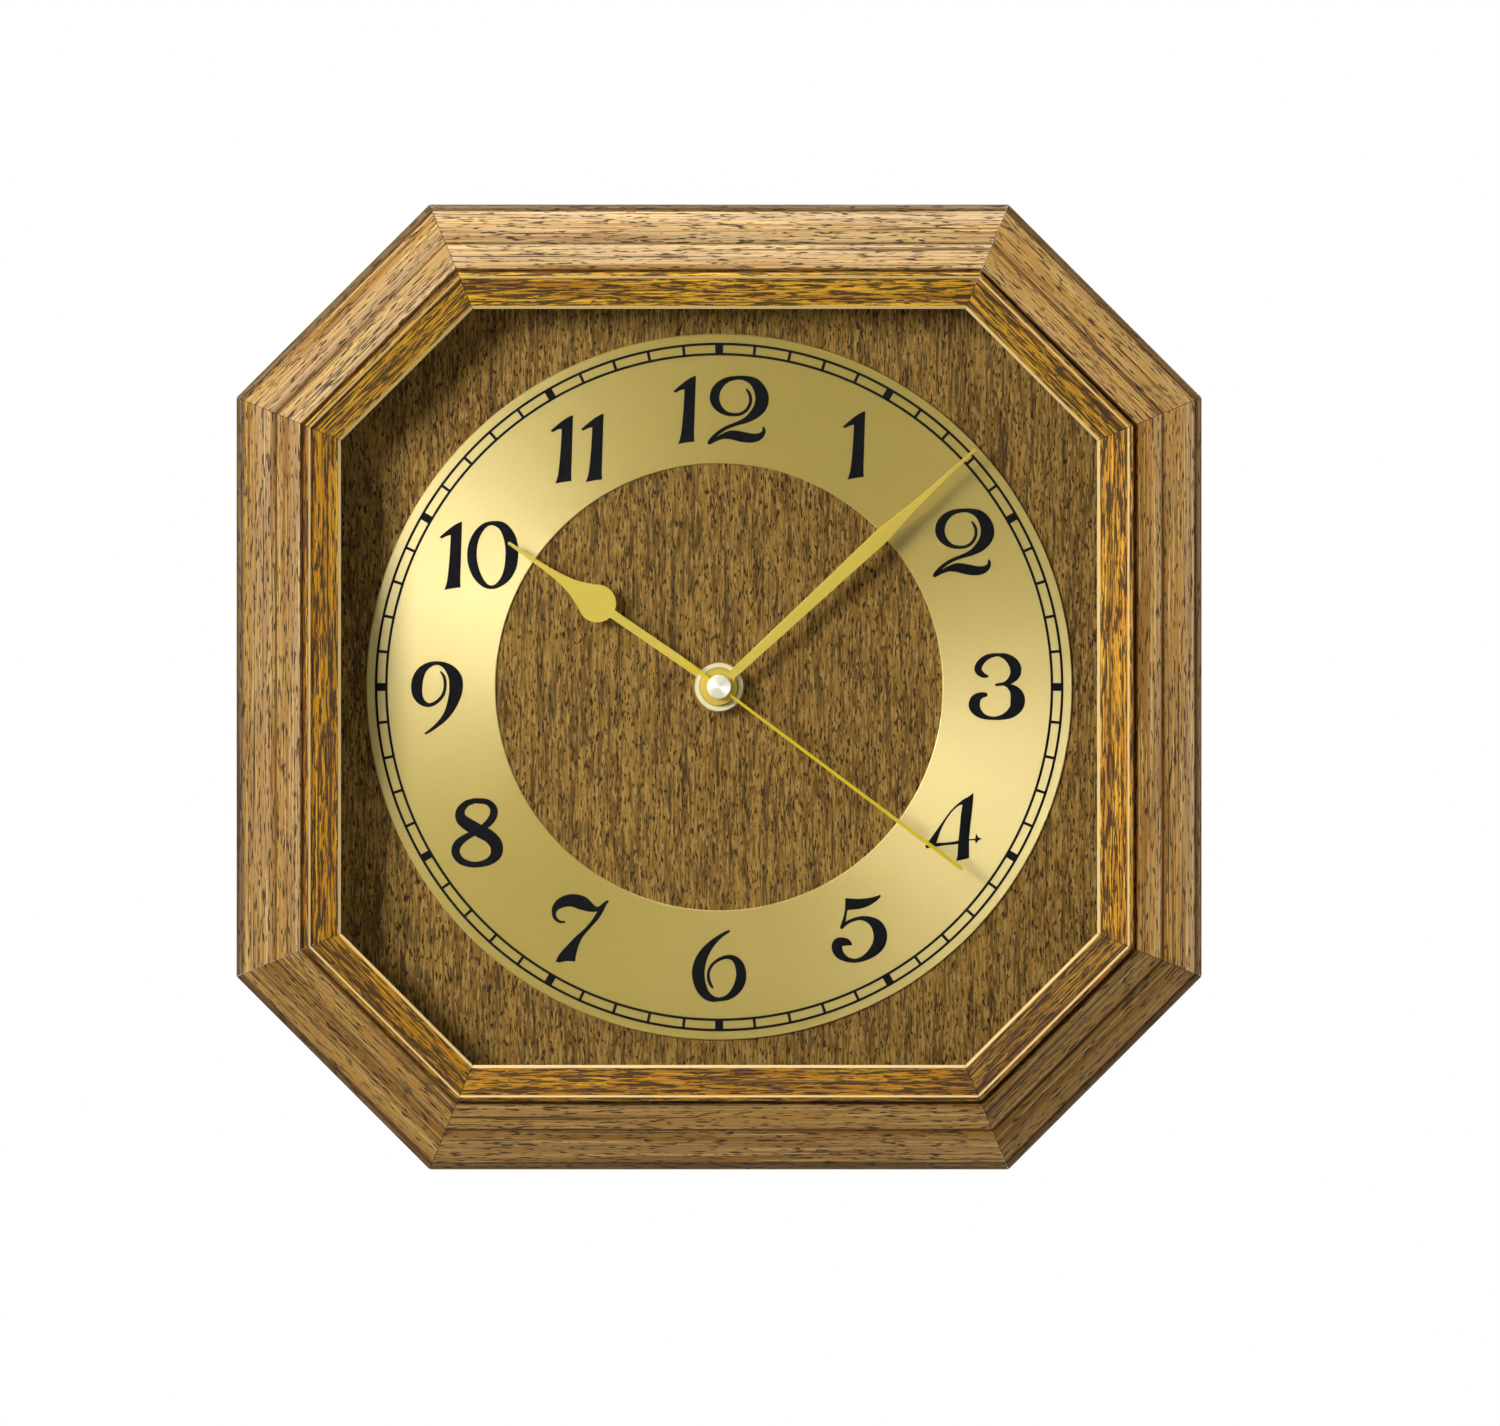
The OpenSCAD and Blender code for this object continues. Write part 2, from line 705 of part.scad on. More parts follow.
// The centre wheel carries the cannon pinion and the tube of the minute hand
module centre_wheel() {
  color([0.92, 0.9, 0.84]) at_dial() difference() {
    union() {
      rod(0, 0, minute_tube_r, centre_z - 0.3, minute_tube_z);
      toothed(
        [0, 0], gear(centre_teeth, pitch(third_dist, centre_teeth, third_pinion_teeth), 0),
        centre_z, centre_z + 0.8
      );
      toothed(
        [0, 0], gear(cannon_teeth, pitch(motion_dist, cannon_teeth, motion_teeth), 0, true),
        motion_z - 0.2, motion_z + 1
      );
    }
    rod(0, 0, arbor_r + run_gap, centre_z - 1, minute_tube_z + 1);
  }
}

motion_phase = mesh_phase(cannon_teeth, 0, motion_teeth, motion_dir);

module motion_wheel() {
  color([0.92, 0.9, 0.84]) at_dial() difference() {
    union() {
      toothed(
        motion_xy, gear(motion_teeth, pitch(motion_dist, motion_teeth, cannon_teeth), motion_phase),
        motion_z, motion_z + 0.8
      );
      rod(motion_xy[0], motion_xy[1], 1.45, motion_z, hour_wheel_z);
      toothed(
        motion_xy, gear(motion_pinion_teeth, pitch(motion_dist, motion_pinion_teeth, hour_teeth), 0, true),
        hour_wheel_z - 0.2, hour_wheel_z + 1.2
      );
    }
    rod(motion_xy[0], motion_xy[1], post_r + run_gap, motion_z - 1, hour_wheel_z + 2);
  }
}

module hour_wheel() {
  phase = mesh_phase(motion_pinion_teeth, 0, hour_teeth, motion_dir + 180);
  color([0.92, 0.9, 0.84]) at_dial() difference() {
    union() {
      rod(0, 0, hour_tube_r, hour_wheel_z, hour_tube_z);
      toothed(
        [0, 0], gear(hour_teeth, pitch(motion_dist, hour_teeth, motion_pinion_teeth), phase),
        hour_wheel_z, hour_wheel_z + 1
      );
    }
    rod(0, 0, minute_tube_r + run_gap, hour_wheel_z - 1, hour_tube_z + 1);
  }
}

// Knurled knob behind the case, with a pinion that drives the motion wheel
module setting_knob() {
  phase = mesh_phase(motion_teeth, motion_phase, knob_teeth, knob_dir);
  x = knob_xy[0];
  y = knob_xy[1];
  color([0.93, 0.92, 0.88]) at_dial() union() {
    difference() {
      rod(x, y, 5.5, 1.6, case_back_z - 0.2);
      for (a = [0 : 20 : 340]) rod(x + 5.9 * cos(a), y + 5.9 * sin(a), 0.7, 1, case_back_z);
      rod(x, y, 3.2, 1, 2.4);
    }
    rod(x, y, knob_shaft_r, case_back_z - 0.3, motion_z - 0.1);
    toothed(
      knob_xy, gear(knob_teeth, pitch(motion_dist, knob_teeth, motion_teeth), phase, true),
      motion_z - 0.2, motion_z + 1
    );
    rod(x, y, post_r, motion_z + 0.9, 19.6);
  }
}

// ---------------------------------------------------------------- battery

module battery() {
  color([0.5, 0.37, 0.2]) at_dial()
    translate([battery_x[0], battery_yz[0], battery_yz[1]]) rotate([0, 90, 0]) rotate_extrude()
      polygon([
        [0, 0], [6.6, 0], [battery_r, 0.6], [battery_r, 48.4], [6.6, 49],
        [battery_nub[0], 49], [battery_nub[0], 49 + battery_nub[1]], [0, 49 + battery_nub[1]]
      ]);
}

module battery_contact_positive() {
  x = battery_x[1] + battery_nub[1];
  color("gainsboro") at_dial() translate([0, battery_yz[0], 0]) union() {
    translate([x, -5, 8.5]) cube([0.5, 10, 12]);
    translate([x, -5, 20]) cube([half_in - x, 10, 0.5]);
  }
}

// Points along a cone-shaped spring, and a tube of six sides around them
spring_turns = 2;
spring_steps = 14;
spring_wire_r = 0.28;
function spring_point(t) = [
  -26.4 + 1.32 * t,
  battery_yz[0] + (3.6 - 1.8 * t) * cos(360 * spring_turns * t),
  battery_yz[1] + (3.6 - 1.8 * t) * sin(360 * spring_turns * t)
];

module spring() {
  n = spring_turns * spring_steps;
  rings = [
    for (i = [0 : n])
      let (c = spring_point(i / n), a = 360 * i / spring_steps, out = [0, cos(a), sin(a)])
      for (k = [0 : 5]) c + spring_wire_r * (cos(60 * k) * out + sin(60 * k) * [1, 0, 0])
  ];
  sides = [
    for (i = [0 : n - 1]) for (k = [0 : 5])
      let (a = 6 * i + k, b = 6 * i + (k + 1) % 6)
      for (f = [[a, b, b + 6], [a, b + 6, a + 6]]) f
  ];
  ends = [[for (k = [5 : -1 : 0]) k], [for (k = [0 : 5]) 6 * n + k]];
  polyhedron(rings, concat(sides, ends), convexity = 6);
}

module battery_contact_negative() {
  color("gainsboro") at_dial() union() {
    translate([-half_in, battery_yz[0] - 5, 8.5]) cube([0.5, 10, 12]);
    spring();
  }
}

// ---------------------------------------------------------------- hands

// Half outline of the hour hand past its arm: a round bulb that runs out into a needle
bulb_at = 46;
bulb_r = 5.9;
bulb_neck = 3.9;
function hour_flare(s) = 0.5 + 7.7 * exp(-s / 6.5);

function hour_side() = concat(
  arc([bulb_at, 0], bulb_r, 167, acos(bulb_neck / bulb_r), 22),
  [for (s = [5 : 1.5 : 30]) [bulb_at + s, hour_flare(s)]],
  [[hour_len - 0.3, 0.45], [hour_len, 0.25]]
);

// Half outline of the minute hand: it widens to a shoulder and runs out into a needle
shoulder_at = 70.5;
shoulder_w = 2.4;
function minute_taper(s) = 0.4 + (shoulder_w - 0.4) * exp(-s / 13.5);

function minute_side() = concat(
  [[5, 1.35]],
  [for (s = [0 : 3 : 36]) [shoulder_at + s, minute_taper(s)]],
  [[minute_len - 0.3, 0.45], [minute_len, 0.25]]
);

function both_sides(side) = concat(
  side,
  [for (i = [len(side) - 1 : -1 : 0]) [side[i][0], -side[i][1]]]
);

// Draws a hand that points along +X so that it shows the given angle from twelve
module pointing(angle) {
  rotate([0, 0, 90 - angle]) children();
}

module hour_hand() {
  color([0.85, 0.75, 0.3]) at_dial() pointing(hour_angle) difference() {
    union() {
      rod(0, 0, hour_hub_r, hour_hand_z, hour_hand_z + hand_t);
      slab(hour_hand_z, hour_hand_z + hand_t) polygon([[4, -1.35], [44, -1.35], [44, 1.35], [4, 1.35]]);
      slab(hour_hand_z, hour_hand_z + hand_t) polygon(both_sides(hour_side()));
    }
    rod(0, 0, 3.3, hour_hand_z - 1, hour_hand_z + 2);
  }
}

module hour_hand_collet() {
  color([0.85, 0.75, 0.3]) at_dial() difference() {
    union() {
      rod(0, 0, 3.3, hour_hand_z - 0.5, hour_hand_z + hand_t + 0.2);
      rod(0, 0, 4.2, hour_hand_z - 0.5, hour_hand_z);
    }
    rod(0, 0, hour_tube_r, hour_hand_z - 1, hour_hand_z + 2);
  }
}

module minute_hand() {
  color([0.85, 0.75, 0.3]) at_dial() pointing(minute_angle) difference() {
    union() {
      rod(0, 0, minute_hub_r, minute_hand_z, minute_hand_z + hand_t);
      slab(minute_hand_z, minute_hand_z + hand_t) polygon(both_sides(minute_side()));
    }
    rod(0, 0, 2.4, minute_hand_z - 1, minute_hand_z + 2);
  }
}

module minute_hand_collet() {
  color([0.85, 0.75, 0.3]) at_dial() difference() {
    union() {
      rod(0, 0, 2.4, minute_hand_z - 0.5, minute_hand_z + hand_t + 0.3);
      rod(0, 0, 3.2, minute_hand_z - 0.5, minute_hand_z);
    }
    rod(0, 0, minute_tube_r, minute_hand_z - 1, minute_hand_z + 2);
  }
}

module second_hand() {
  color([0.85, 0.75, 0.3]) at_dial() pointing(second_angle) difference() {
    union() {
      rod(0, 0, 2.2, second_hand_z, second_hand_z + 0.4);
      slab(second_hand_z, second_hand_z + 0.4) polygon([
        [-second_tail, -0.7], [0, -0.45], [second_len, -0.6],
        [second_len, 0.6], [0, 0.45], [-second_tail, 0.7]
      ]);
    }
    rod(0, 0, 1, second_hand_z - 1, second_hand_z + 1);
  }
}

module second_hand_socket() {
  color([0.85, 0.75, 0.3]) at_dial() difference() {
    rod(0, 0, 1, second_hand_z - 0.3, second_arbor_z);
    rod(0, 0, arbor_r, second_hand_z - 1, second_arbor_z + 1);
  }
}

// Turned button over the end of the second hand's arbor
module centre_cap() {
  z0 = second_hand_z + 0.4;
  color([0.8, 0.78, 0.7]) at_dial() translate([0, 0, z0]) rotate_extrude()
    polygon(concat(
      [[1, 0], [3.4, 0], [3.7, 0.3], [3.7, 1]],
      [for (a = [15 : 15 : 75]) [3.1 + 0.6 * cos(a), 1 + 0.6 * sin(a)]],
      [for (x = [3 : -0.6 : 0]) [x, 1.85 - 0.25 * pow(x / 3, 2)]],
      [[0, second_arbor_z - z0 + 0.1], [1, second_arbor_z - z0 + 0.1]]
    ));
}

top_rail();
upper_right_rail();
right_rail();
lower_right_rail();
bottom_rail();
lower_left_rail();
left_rail();
upper_left_rail();
corner_v_nails();
front_glass();
spacer_strips();
dial_board();
chapter_ring();
dial_clips();
clip_screws();
hanger_plate();
hanger_screws();
movement_front_case();
movement_back_case();
middle_plate();
threaded_bush();
rubber_washer();
flat_washer();
hex_nut();
circuit_board();
quartz_crystal();
controller_chip();
coil_bobbin();
coil_winding();
coil_core();
stator();
rotor();
fifth_wheel();
second_wheel();
third_wheel();
centre_wheel();
motion_wheel();
hour_wheel();
setting_knob();
battery();
battery_contact_positive();
battery_contact_negative();
hour_hand();
hour_hand_collet();
minute_hand();
minute_hand_collet();
second_hand();
second_hand_socket();
centre_cap();
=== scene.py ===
import math

import bpy
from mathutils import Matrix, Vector
from mathutils.geometry import delaunay_2d_cdt

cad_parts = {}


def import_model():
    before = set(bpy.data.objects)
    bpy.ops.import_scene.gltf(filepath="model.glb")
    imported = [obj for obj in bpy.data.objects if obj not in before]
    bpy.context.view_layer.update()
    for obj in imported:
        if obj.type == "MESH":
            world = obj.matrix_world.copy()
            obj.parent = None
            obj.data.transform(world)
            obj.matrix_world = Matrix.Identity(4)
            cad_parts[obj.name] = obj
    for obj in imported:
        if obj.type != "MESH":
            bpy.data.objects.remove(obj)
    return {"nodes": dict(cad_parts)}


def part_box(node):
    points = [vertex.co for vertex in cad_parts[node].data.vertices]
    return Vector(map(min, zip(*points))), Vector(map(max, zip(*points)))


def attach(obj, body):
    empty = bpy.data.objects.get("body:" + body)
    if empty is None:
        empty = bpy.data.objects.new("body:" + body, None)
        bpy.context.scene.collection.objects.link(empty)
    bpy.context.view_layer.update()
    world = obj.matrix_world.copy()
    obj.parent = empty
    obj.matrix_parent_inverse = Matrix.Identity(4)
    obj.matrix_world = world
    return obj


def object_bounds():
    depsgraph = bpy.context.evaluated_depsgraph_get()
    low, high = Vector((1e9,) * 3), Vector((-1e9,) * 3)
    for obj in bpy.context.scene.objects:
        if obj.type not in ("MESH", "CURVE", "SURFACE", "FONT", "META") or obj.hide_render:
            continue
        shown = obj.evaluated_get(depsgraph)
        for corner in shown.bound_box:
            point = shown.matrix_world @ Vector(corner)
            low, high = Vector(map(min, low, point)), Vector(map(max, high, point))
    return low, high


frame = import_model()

cad_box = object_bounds()

# Eight-sided oak wall clock. The front faces -Y, and a dial place is given face-on: millimetres
# to the right of the dial's middle, and millimetres above it. Unless a comment says otherwise,
# every other length is in metres.

MM = 0.001
ring_low, ring_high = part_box("chapter_ring")
DIAL = (ring_low + ring_high) / 2
RING_FRONT = ring_low.y
NODES = frame["nodes"]


def on_dial(x, z, y):
    """A point in the row frame, from a dial place in millimetres and a Y in metres."""
    return Vector((DIAL.x + x * MM, y, DIAL.z + z * MM))


def clockwise(radius, degrees):
    """The dial place at that radius and angle from twelve o'clock."""
    a = math.radians(degrees)
    return radius * math.sin(a), radius * math.cos(a)


def blend(a, b, share):
    """The colour that lies that share of the way from a to b."""
    return tuple(x + share * (y - x) for x, y in zip(a, b))


def scaled(colour, by):
    """The colour made darker, or lighter where by is over 1."""
    return tuple(by * c for c in colour)


# ---------------------------------------------------------------- material nodes


class Graph:
    """One material's nodes, with short names for the ones used here."""

    def __init__(self, name):
        self.material = bpy.data.materials.new(name)
        self.material.use_nodes = True
        self.tree = self.material.node_tree
        self.shader = self.tree.nodes["Principled BSDF"]
        self.output = self.tree.nodes["Material Output"]

    def node(self, kind, inputs=None, **settings):
        made = self.tree.nodes.new("ShaderNode" + kind)
        for key, value in settings.items():
            setattr(made, key, value)
        for key, value in (inputs or {}).items():
            self.feed(made.inputs[key], value)
        return made

    def feed(self, socket, value):
        if isinstance(value, bpy.types.NodeSocket):
            self.tree.links.new(value, socket)
        else:
            socket.default_value = value

    def set(self, **inputs):
        """Feeds the shader's sockets; an underscore in a name stands for a space."""
        for key, value in inputs.items():
            self.feed(self.shader.inputs[key.replace("_", " ")], value)

    def place(self):
        """Where the point is in the row frame."""
        return self.node("TexCoord").outputs["Object"]

    def mapped(self, vector, scale=(1, 1, 1), turn=(0, 0, 0)):
        inputs = {"Vector": vector, "Scale": scale, "Rotation": turn}
        return self.node("Mapping", inputs).outputs["Vector"]

    def vector_math(self, operation, a, b=(0, 0, 0)):
        return self.node("VectorMath", {0: a, 1: b}, operation=operation).outputs

    def noise(self, vector, scale, detail=2.0, rough=0.5, warp=0.0):
        """Noise with that many cells to the metre."""
        inputs = {"Vector": vector, "Scale": scale, "Detail": detail, "Roughness": rough}
        inputs["Distortion"] = warp
        return self.node("TexNoise", inputs).outputs["Fac"]

    def math(self, operation, a, b):
        return self.node("Math", {0: a, 1: b}, operation=operation).outputs[0]

    def plus(self, a, b):
        return self.math("ADD", a, b)

    def times(self, a, b):
        return self.math("MULTIPLY", a, b)

    def stronger(self, a, b):
        return self.math("MAXIMUM", a, b)

    def rest(self, share):
        """What a share leaves of the whole."""
        return self.math("SUBTRACT", 1.0, share)

    def average(self, a, b):
        return self.plus(self.times(a, 0.5), self.times(b, 0.5))

    def span(self, share, low, high):
        """From low where the share is 0 to high where it is 1."""
        return self.plus(self.times(share, high - low), low)

    def ramp(self, value, *stops):
        """A grey ramp between two stops, each (place, grey)."""
        made = self.node("ValToRGB", {"Fac": value})
        for point, (at, grey) in zip(made.color_ramp.elements, stops):
            point.position = at
            point.color = (grey, grey, grey, 1)
        return made.outputs["Color"]

    def mix(self, share, a, b, mode="MIX"):
        made = self.node("Mix", data_type="RGBA", blend_type=mode)
        for socket, value in ((0, share), (6, a), (7, b)):
            if isinstance(value, tuple):
                value = (*value, 1)
            self.feed(made.inputs[socket], value)
        return made.outputs[2]

    def bump(self, height, depth, strength=1.0):
        inputs = {"Height": height, "Distance": depth, "Strength": strength}
        self.feed(self.shader.inputs["Normal"], self.node("Bump", inputs).outputs["Normal"])


def step(g, value, low, high):
    """Smooth rise from 0 to 1 between two values."""
    inputs = {"Value": value, "From Min": low, "From Max": high}
    return g.node("MapRange", inputs, interpolation_type="SMOOTHSTEP").outputs[0]


def between(g, value, low, high, soft=0.0002):
    """1 where the value lies from low to high."""
    return g.times(step(g, value, low - soft, low + soft),
                   g.rest(step(g, value, high - soft, high + soft)))


def about_dial(g):
    """The point in the row frame, from the place where the dial's axis meets the wall."""
    return g.vector_math("SUBTRACT", g.place(), (DIAL.x, 0, DIAL.z))[0]


def from_axis(g):
    """Vector from the dial's axis, in the plane of the dial, and its length."""
    out = g.vector_math("MULTIPLY", about_dial(g), (1, 0, 1))[0]
    return out, g.vector_math("LENGTH", out)["Value"]


# ---------------------------------------------------------------- wood

OAK_LIGHT = (0.42, 0.225, 0.042)
OAK_DARK = (0.21, 0.090, 0.009)
OAK_GREY = (0.33, 0.19, 0.058)
# Whitish tone of the painted sheen on the upper rails
OAK_PAINTED_SHEEN = (0.42, 0.305, 0.165)
OAK_GLOW = (0.56, 0.38, 0.12)
OAK_PORE = (0.022, 0.010, 0.003)
# Darker in the hollows and on the outer lip: painted shade, with some staining gathered there
OAK_STAIN_AND_SHADE = (0.04, 0.018, 0.004)
STAIN_AND_SHADE_SHARE = 0.7
STRIP_TINT = (1.25, 1.04, 0.14)
# Painted highlight on the bead's crest and the sight edge
HIGHLIGHT_TONE = (0.60, 0.44, 0.18)
VENEER_LIGHT = (0.30, 0.165, 0.032)
VENEER_DARK = (0.155, 0.075, 0.013)
VENEER_GLOW = (0.41, 0.25, 0.065)
VENEER_PORE = (0.008, 0.004, 0.0015)
BOARD_DARK = (0.11, 0.062, 0.028)
BOARD_LIGHT = (0.22, 0.135, 0.066)

# Distances from the wall over which the plain sides give way to the moulding
MOULDED_FROM = (0.0362, 0.0372)
# Members of the moulding, by their distance from the rail's outer edge
LIP_TO = (0.0019, 0.0025)
VALLEY = (0.0120, 0.0127)
QUIRK = (0.0205, 0.0213)
STRIP_FROM = (0.0205, 0.0210)
BEAD_CREST = (0.0227, 0.0233)
SIGHT_EDGE = (0.0318, 0.0340)
# Depths below the dial board's face over which its veneer gives way to fibreboard
VENEER_TO = (0.0006, 0.0007)
VENEER_SEED = 2.7

OAK_MARKS = {
    "cloud": dict(scale=(3, 170, 170), level=0.5, soft=0.13),
    "band": dict(scale=(5, 230, 230), level=0.43, soft=0.05, strength=0.85),
    "fibre": dict(scale=(30, 2100, 2100), level=0.47, soft=0.1, strength=0.6),
    "glow": dict(scale=(16, 1500, 1500), level=0.42, soft=0.03, strength=0.65),
    "line": dict(scale=(9, 900, 900), level=0.36, soft=0.02, strength=0.8),
    "dash": dict(scale=(210, 1900, 1900), level=0.395, soft=0.03, strength=0.9, detail=1),
    "wave": dict(
        scale=(95, 1500, 1500), level=0.48, soft=0.03, strength=0.9, detail=3, warp=0.5
    ),
}
VENEER_MARKS = {
    "cloud": dict(scale=(20, 300, 300), level=0.5, soft=0.12),
    "glow": dict(scale=(170, 1300, 1300), level=0.46, soft=0.045, strength=0.7),
    "line": dict(scale=(75, 1200, 1200), level=0.43, soft=0.05, strength=0.6),
    "pit": dict(scale=(420, 1900, 1900), level=0.4, soft=0.03, strength=0.9, detail=1),
}


def along_grain(g, turn, seed):
    """The place about the dial's middle, turned so that the grain runs along X, and the same
    moved by seed so that no two sticks of wood match."""
    turned = g.mapped(about_dial(g), turn=(0, turn, 0))
    return turned, g.vector_math("ADD", turned, (seed, 0.7 * seed, 1.3 * seed))[0]


def marks(g, at, scale, level, soft, strength=1.0, detail=2, warp=0.1):
    """Marks drawn out along the grain: strength inside a mark, 0 outside, and a rim of width
    soft. Scale is in cells to the metre along the grain and across it, and a higher level
    gives more marks."""
    value = g.noise(g.mapped(at, scale=scale), 1.0, detail, 0.6, warp)
    return g.ramp(value, (level - soft, strength), (level + soft, 0.0))


def oak(name, turn, edge, seed, shade, painted_sheen):
    """A moulded rail whose outer edge lies edge metres from the dial's middle. The flat inner
    strip, cut across the rings, shows stronger lines than the slopes. The hollows and the outer
    lip are darker, as painted shade with some staining gathered there, and the bead and the
    sight edge carry a painted highlight. Shade makes the whole rail lighter or darker, and the
    last argument draws it toward a whitish sheen: painted light, shade and sheen by the way the
    rail faces."""
    # Per rail, the tones are made lighter or darker and drawn toward a whitish sheen: painted
    # light, shade and sheen
    light, dark, grey, glow = (
        scaled(tone, shade) for tone in (
            blend(OAK_LIGHT, OAK_PAINTED_SHEEN, 0.6 * painted_sheen), OAK_DARK,
            blend(OAK_GREY, OAK_PAINTED_SHEEN, painted_sheen), OAK_GLOW,
        )
    )
    g = Graph(name)
    turned, at = along_grain(g, turn, seed)
    part = g.node("SeparateXYZ", {"Vector": turned}).outputs
    inward = g.math("SUBTRACT", edge, part["Z"])
    moulded_side = step(g, g.times(part["Y"], -1.0), *MOULDED_FROM)
    strip = g.times(step(g, inward, *STRIP_FROM), moulded_side)
    # The bead's crest and the sight edge take a painted highlight and lose their pores
    crests = g.plus(between(g, inward, *BEAD_CREST), between(g, inward, *SIGHT_EDGE))
    painted_highlight = g.times(crests, moulded_side)
    hollow = g.plus(between(g, inward, *VALLEY), between(g, inward, *QUIRK))
    lip = g.rest(step(g, inward, *LIP_TO))
    # Hollows and outer lip darkened: painted shade, with some staining
    stain_and_shade = g.times(g.times(g.stronger(lip, hollow), STAIN_AND_SHADE_SHARE), moulded_side)
    found = {key: marks(g, at, **kind) for key, kind in OAK_MARKS.items()}

    wood = g.mix(found["cloud"], light, grey)
    wood = g.mix(found["band"], wood, dark)
    wood = g.mix(found["fibre"], wood, dark)
    wood = g.mix(found["glow"], wood, glow)
    wood = g.mix(strip, wood, STRIP_TINT, mode="MULTIPLY")
    wood = g.mix(stain_and_shade, wood, OAK_STAIN_AND_SHADE)

    pores = g.stronger(found["line"], found["dash"])
    pores = g.stronger(pores, g.times(found["wave"], strip))
    pores = g.times(pores, g.rest(painted_highlight))
    g.set(Base_Color=g.mix(painted_highlight, g.mix(pores, wood, OAK_PORE), HIGHLIGHT_TONE))
    g.set(Roughness=g.span(pores, 0.45, 0.75))
    g.set(Coat_Weight=0.06, Coat_Roughness=0.4, Specular_IOR_Level=0.25)
    g.bump(g.rest(pores), depth=0.00012, strength=0.7)
    return g.material


def veneer(name, front):
    """Dark oak veneer with its grain upright, as short light and dark dashes, on a fibreboard
    whose front face is at Y = front."""
    g = Graph(name)
    _, at = along_grain(g, math.radians(90), VENEER_SEED)
    found = {key: marks(g, at, **kind) for key, kind in VENEER_MARKS.items()}
    wood = g.mix(found["cloud"], VENEER_LIGHT, VENEER_DARK)
    wood = g.mix(found["glow"], wood, VENEER_GLOW)
    pores = g.stronger(found["line"], found["pit"])
    face = g.mix(pores, wood, VENEER_PORE)
    fibres = g.noise(g.place(), 900, detail=3, rough=0.7)
    board = g.mix(fibres, BOARD_DARK, BOARD_LIGHT)
    y = g.node("SeparateXYZ", {"Vector": g.place()}).outputs["Y"]
    below_face = step(g, y, *(front + depth for depth in VENEER_TO))
    g.set(Base_Color=g.mix(below_face, face, board))
    g.set(Roughness=g.span(pores, 0.5, 0.75))
    g.set(Specular_IOR_Level=0.15)
    g.bump(g.rest(pores), depth=0.0001, strength=0.6)
    return g.material


# ---------------------------------------------------------------- metal, plastic, glass and ink

BRASS = (0.78, 0.59, 0.095)
YELLOW = (0.82, 0.60, 0.025)
GOLD = (0.475, 0.342, 0.032)
CREAM = (0.86, 0.82, 0.66)
# Painted highlight on a turned hub's rim
HUB_RIM_HIGHLIGHT = (0.95, 0.88, 0.56)
# Radii over which a hub's face gives way to the painted highlight on its rim
HUB_RIM_FROM = (0.00615, 0.00625)
HUB_EDGE_SOFT = 0.00005
GLASS_TINT = (0.97, 0.985, 0.98)
GLASS_CLEAR = (0.97, 0.98, 0.975)
INK_DARK = (0.002, 0.002, 0.003)
INK_LIGHT = (0.006, 0.006, 0.007)
FINE_GROOVES = 9000  # to the metre, on small turned parts
RING_GROOVES = 3200

BATTERY_BLACK = (0.02, 0.02, 0.022)
BATTERY_ORANGE = (0.60, 0.27, 0.06)
BATTERY_STEEL = (0.6, 0.6, 0.6)
# Shares of the battery's length from its low X end: the bright band, and the printed sleeve
BATTERY_BAND = (0.66, 0.97)
BATTERY_SLEEVE = (0.012, 0.956)
BATTERY_SOFT = 0.004


def metal(name, colour, roughness):
    """Plain metal with faint blotches and scratches in its gloss."""
    g = Graph(name)
    blotch = g.noise(g.place(), 180, detail=3, rough=0.6)
    scratch = g.noise(g.mapped(g.place(), scale=(1, 1, 5)), 900, rough=0.6)
    g.set(Base_Color=g.mix(blotch, colour, scaled(colour, 0.86)), Metallic=1.0)
    g.set(Roughness=g.span(g.average(blotch, scratch), roughness - 0.06, roughness + 0.06))
    g.bump(scratch, depth=0.00001, strength=0.25)
    return g.material


def moulded(name, colour, roughness):
    """Injection-moulded plastic or rubber with a fine etched grain."""
    g = Graph(name)
    etch = g.noise(g.place(), 1400)
    cloud = g.noise(g.place(), 60)
    g.set(Base_Color=g.mix(cloud, colour, tuple(0.8 * c + 0.002 for c in colour)))
    g.set(Roughness=g.span(etch, roughness - 0.1, roughness + 0.1))
    g.bump(etch, depth=0.00003, strength=0.5)
    return g.material


def circular_brushed(name, colour, roughness, spread, grooves):
    """Metal brushed in circles about the dial's axis, so that its shine spreads in fans."""
    g = Graph(name)
    out, radius = from_axis(g)
    across = g.vector_math("NORMALIZE", out)[0]
    line = g.node("CombineXYZ", {"X": radius}).outputs[0]
    groove = g.noise(line, grooves, detail=3, rough=0.7)
    speck = g.noise(g.place(), 1300, rough=0.6)
    cloud = g.noise(g.place(), 35)
    brushed = g.mix(g.average(groove, cloud), scaled(colour, 0.9), colour)
    pits = g.ramp(speck, (0.29, 0.6), (0.36, 0.0))
    brushed = g.mix(pits, brushed, scaled(colour, 0.5))
    g.set(Base_Color=brushed, Metallic=0.34, Anisotropic=spread, IOR=2.8)
    g.set(Roughness=g.span(groove, roughness - 0.04, roughness + 0.04), Tangent=across)
    g.bump(groove, depth=0.000006, strength=0.3)
    return g.material


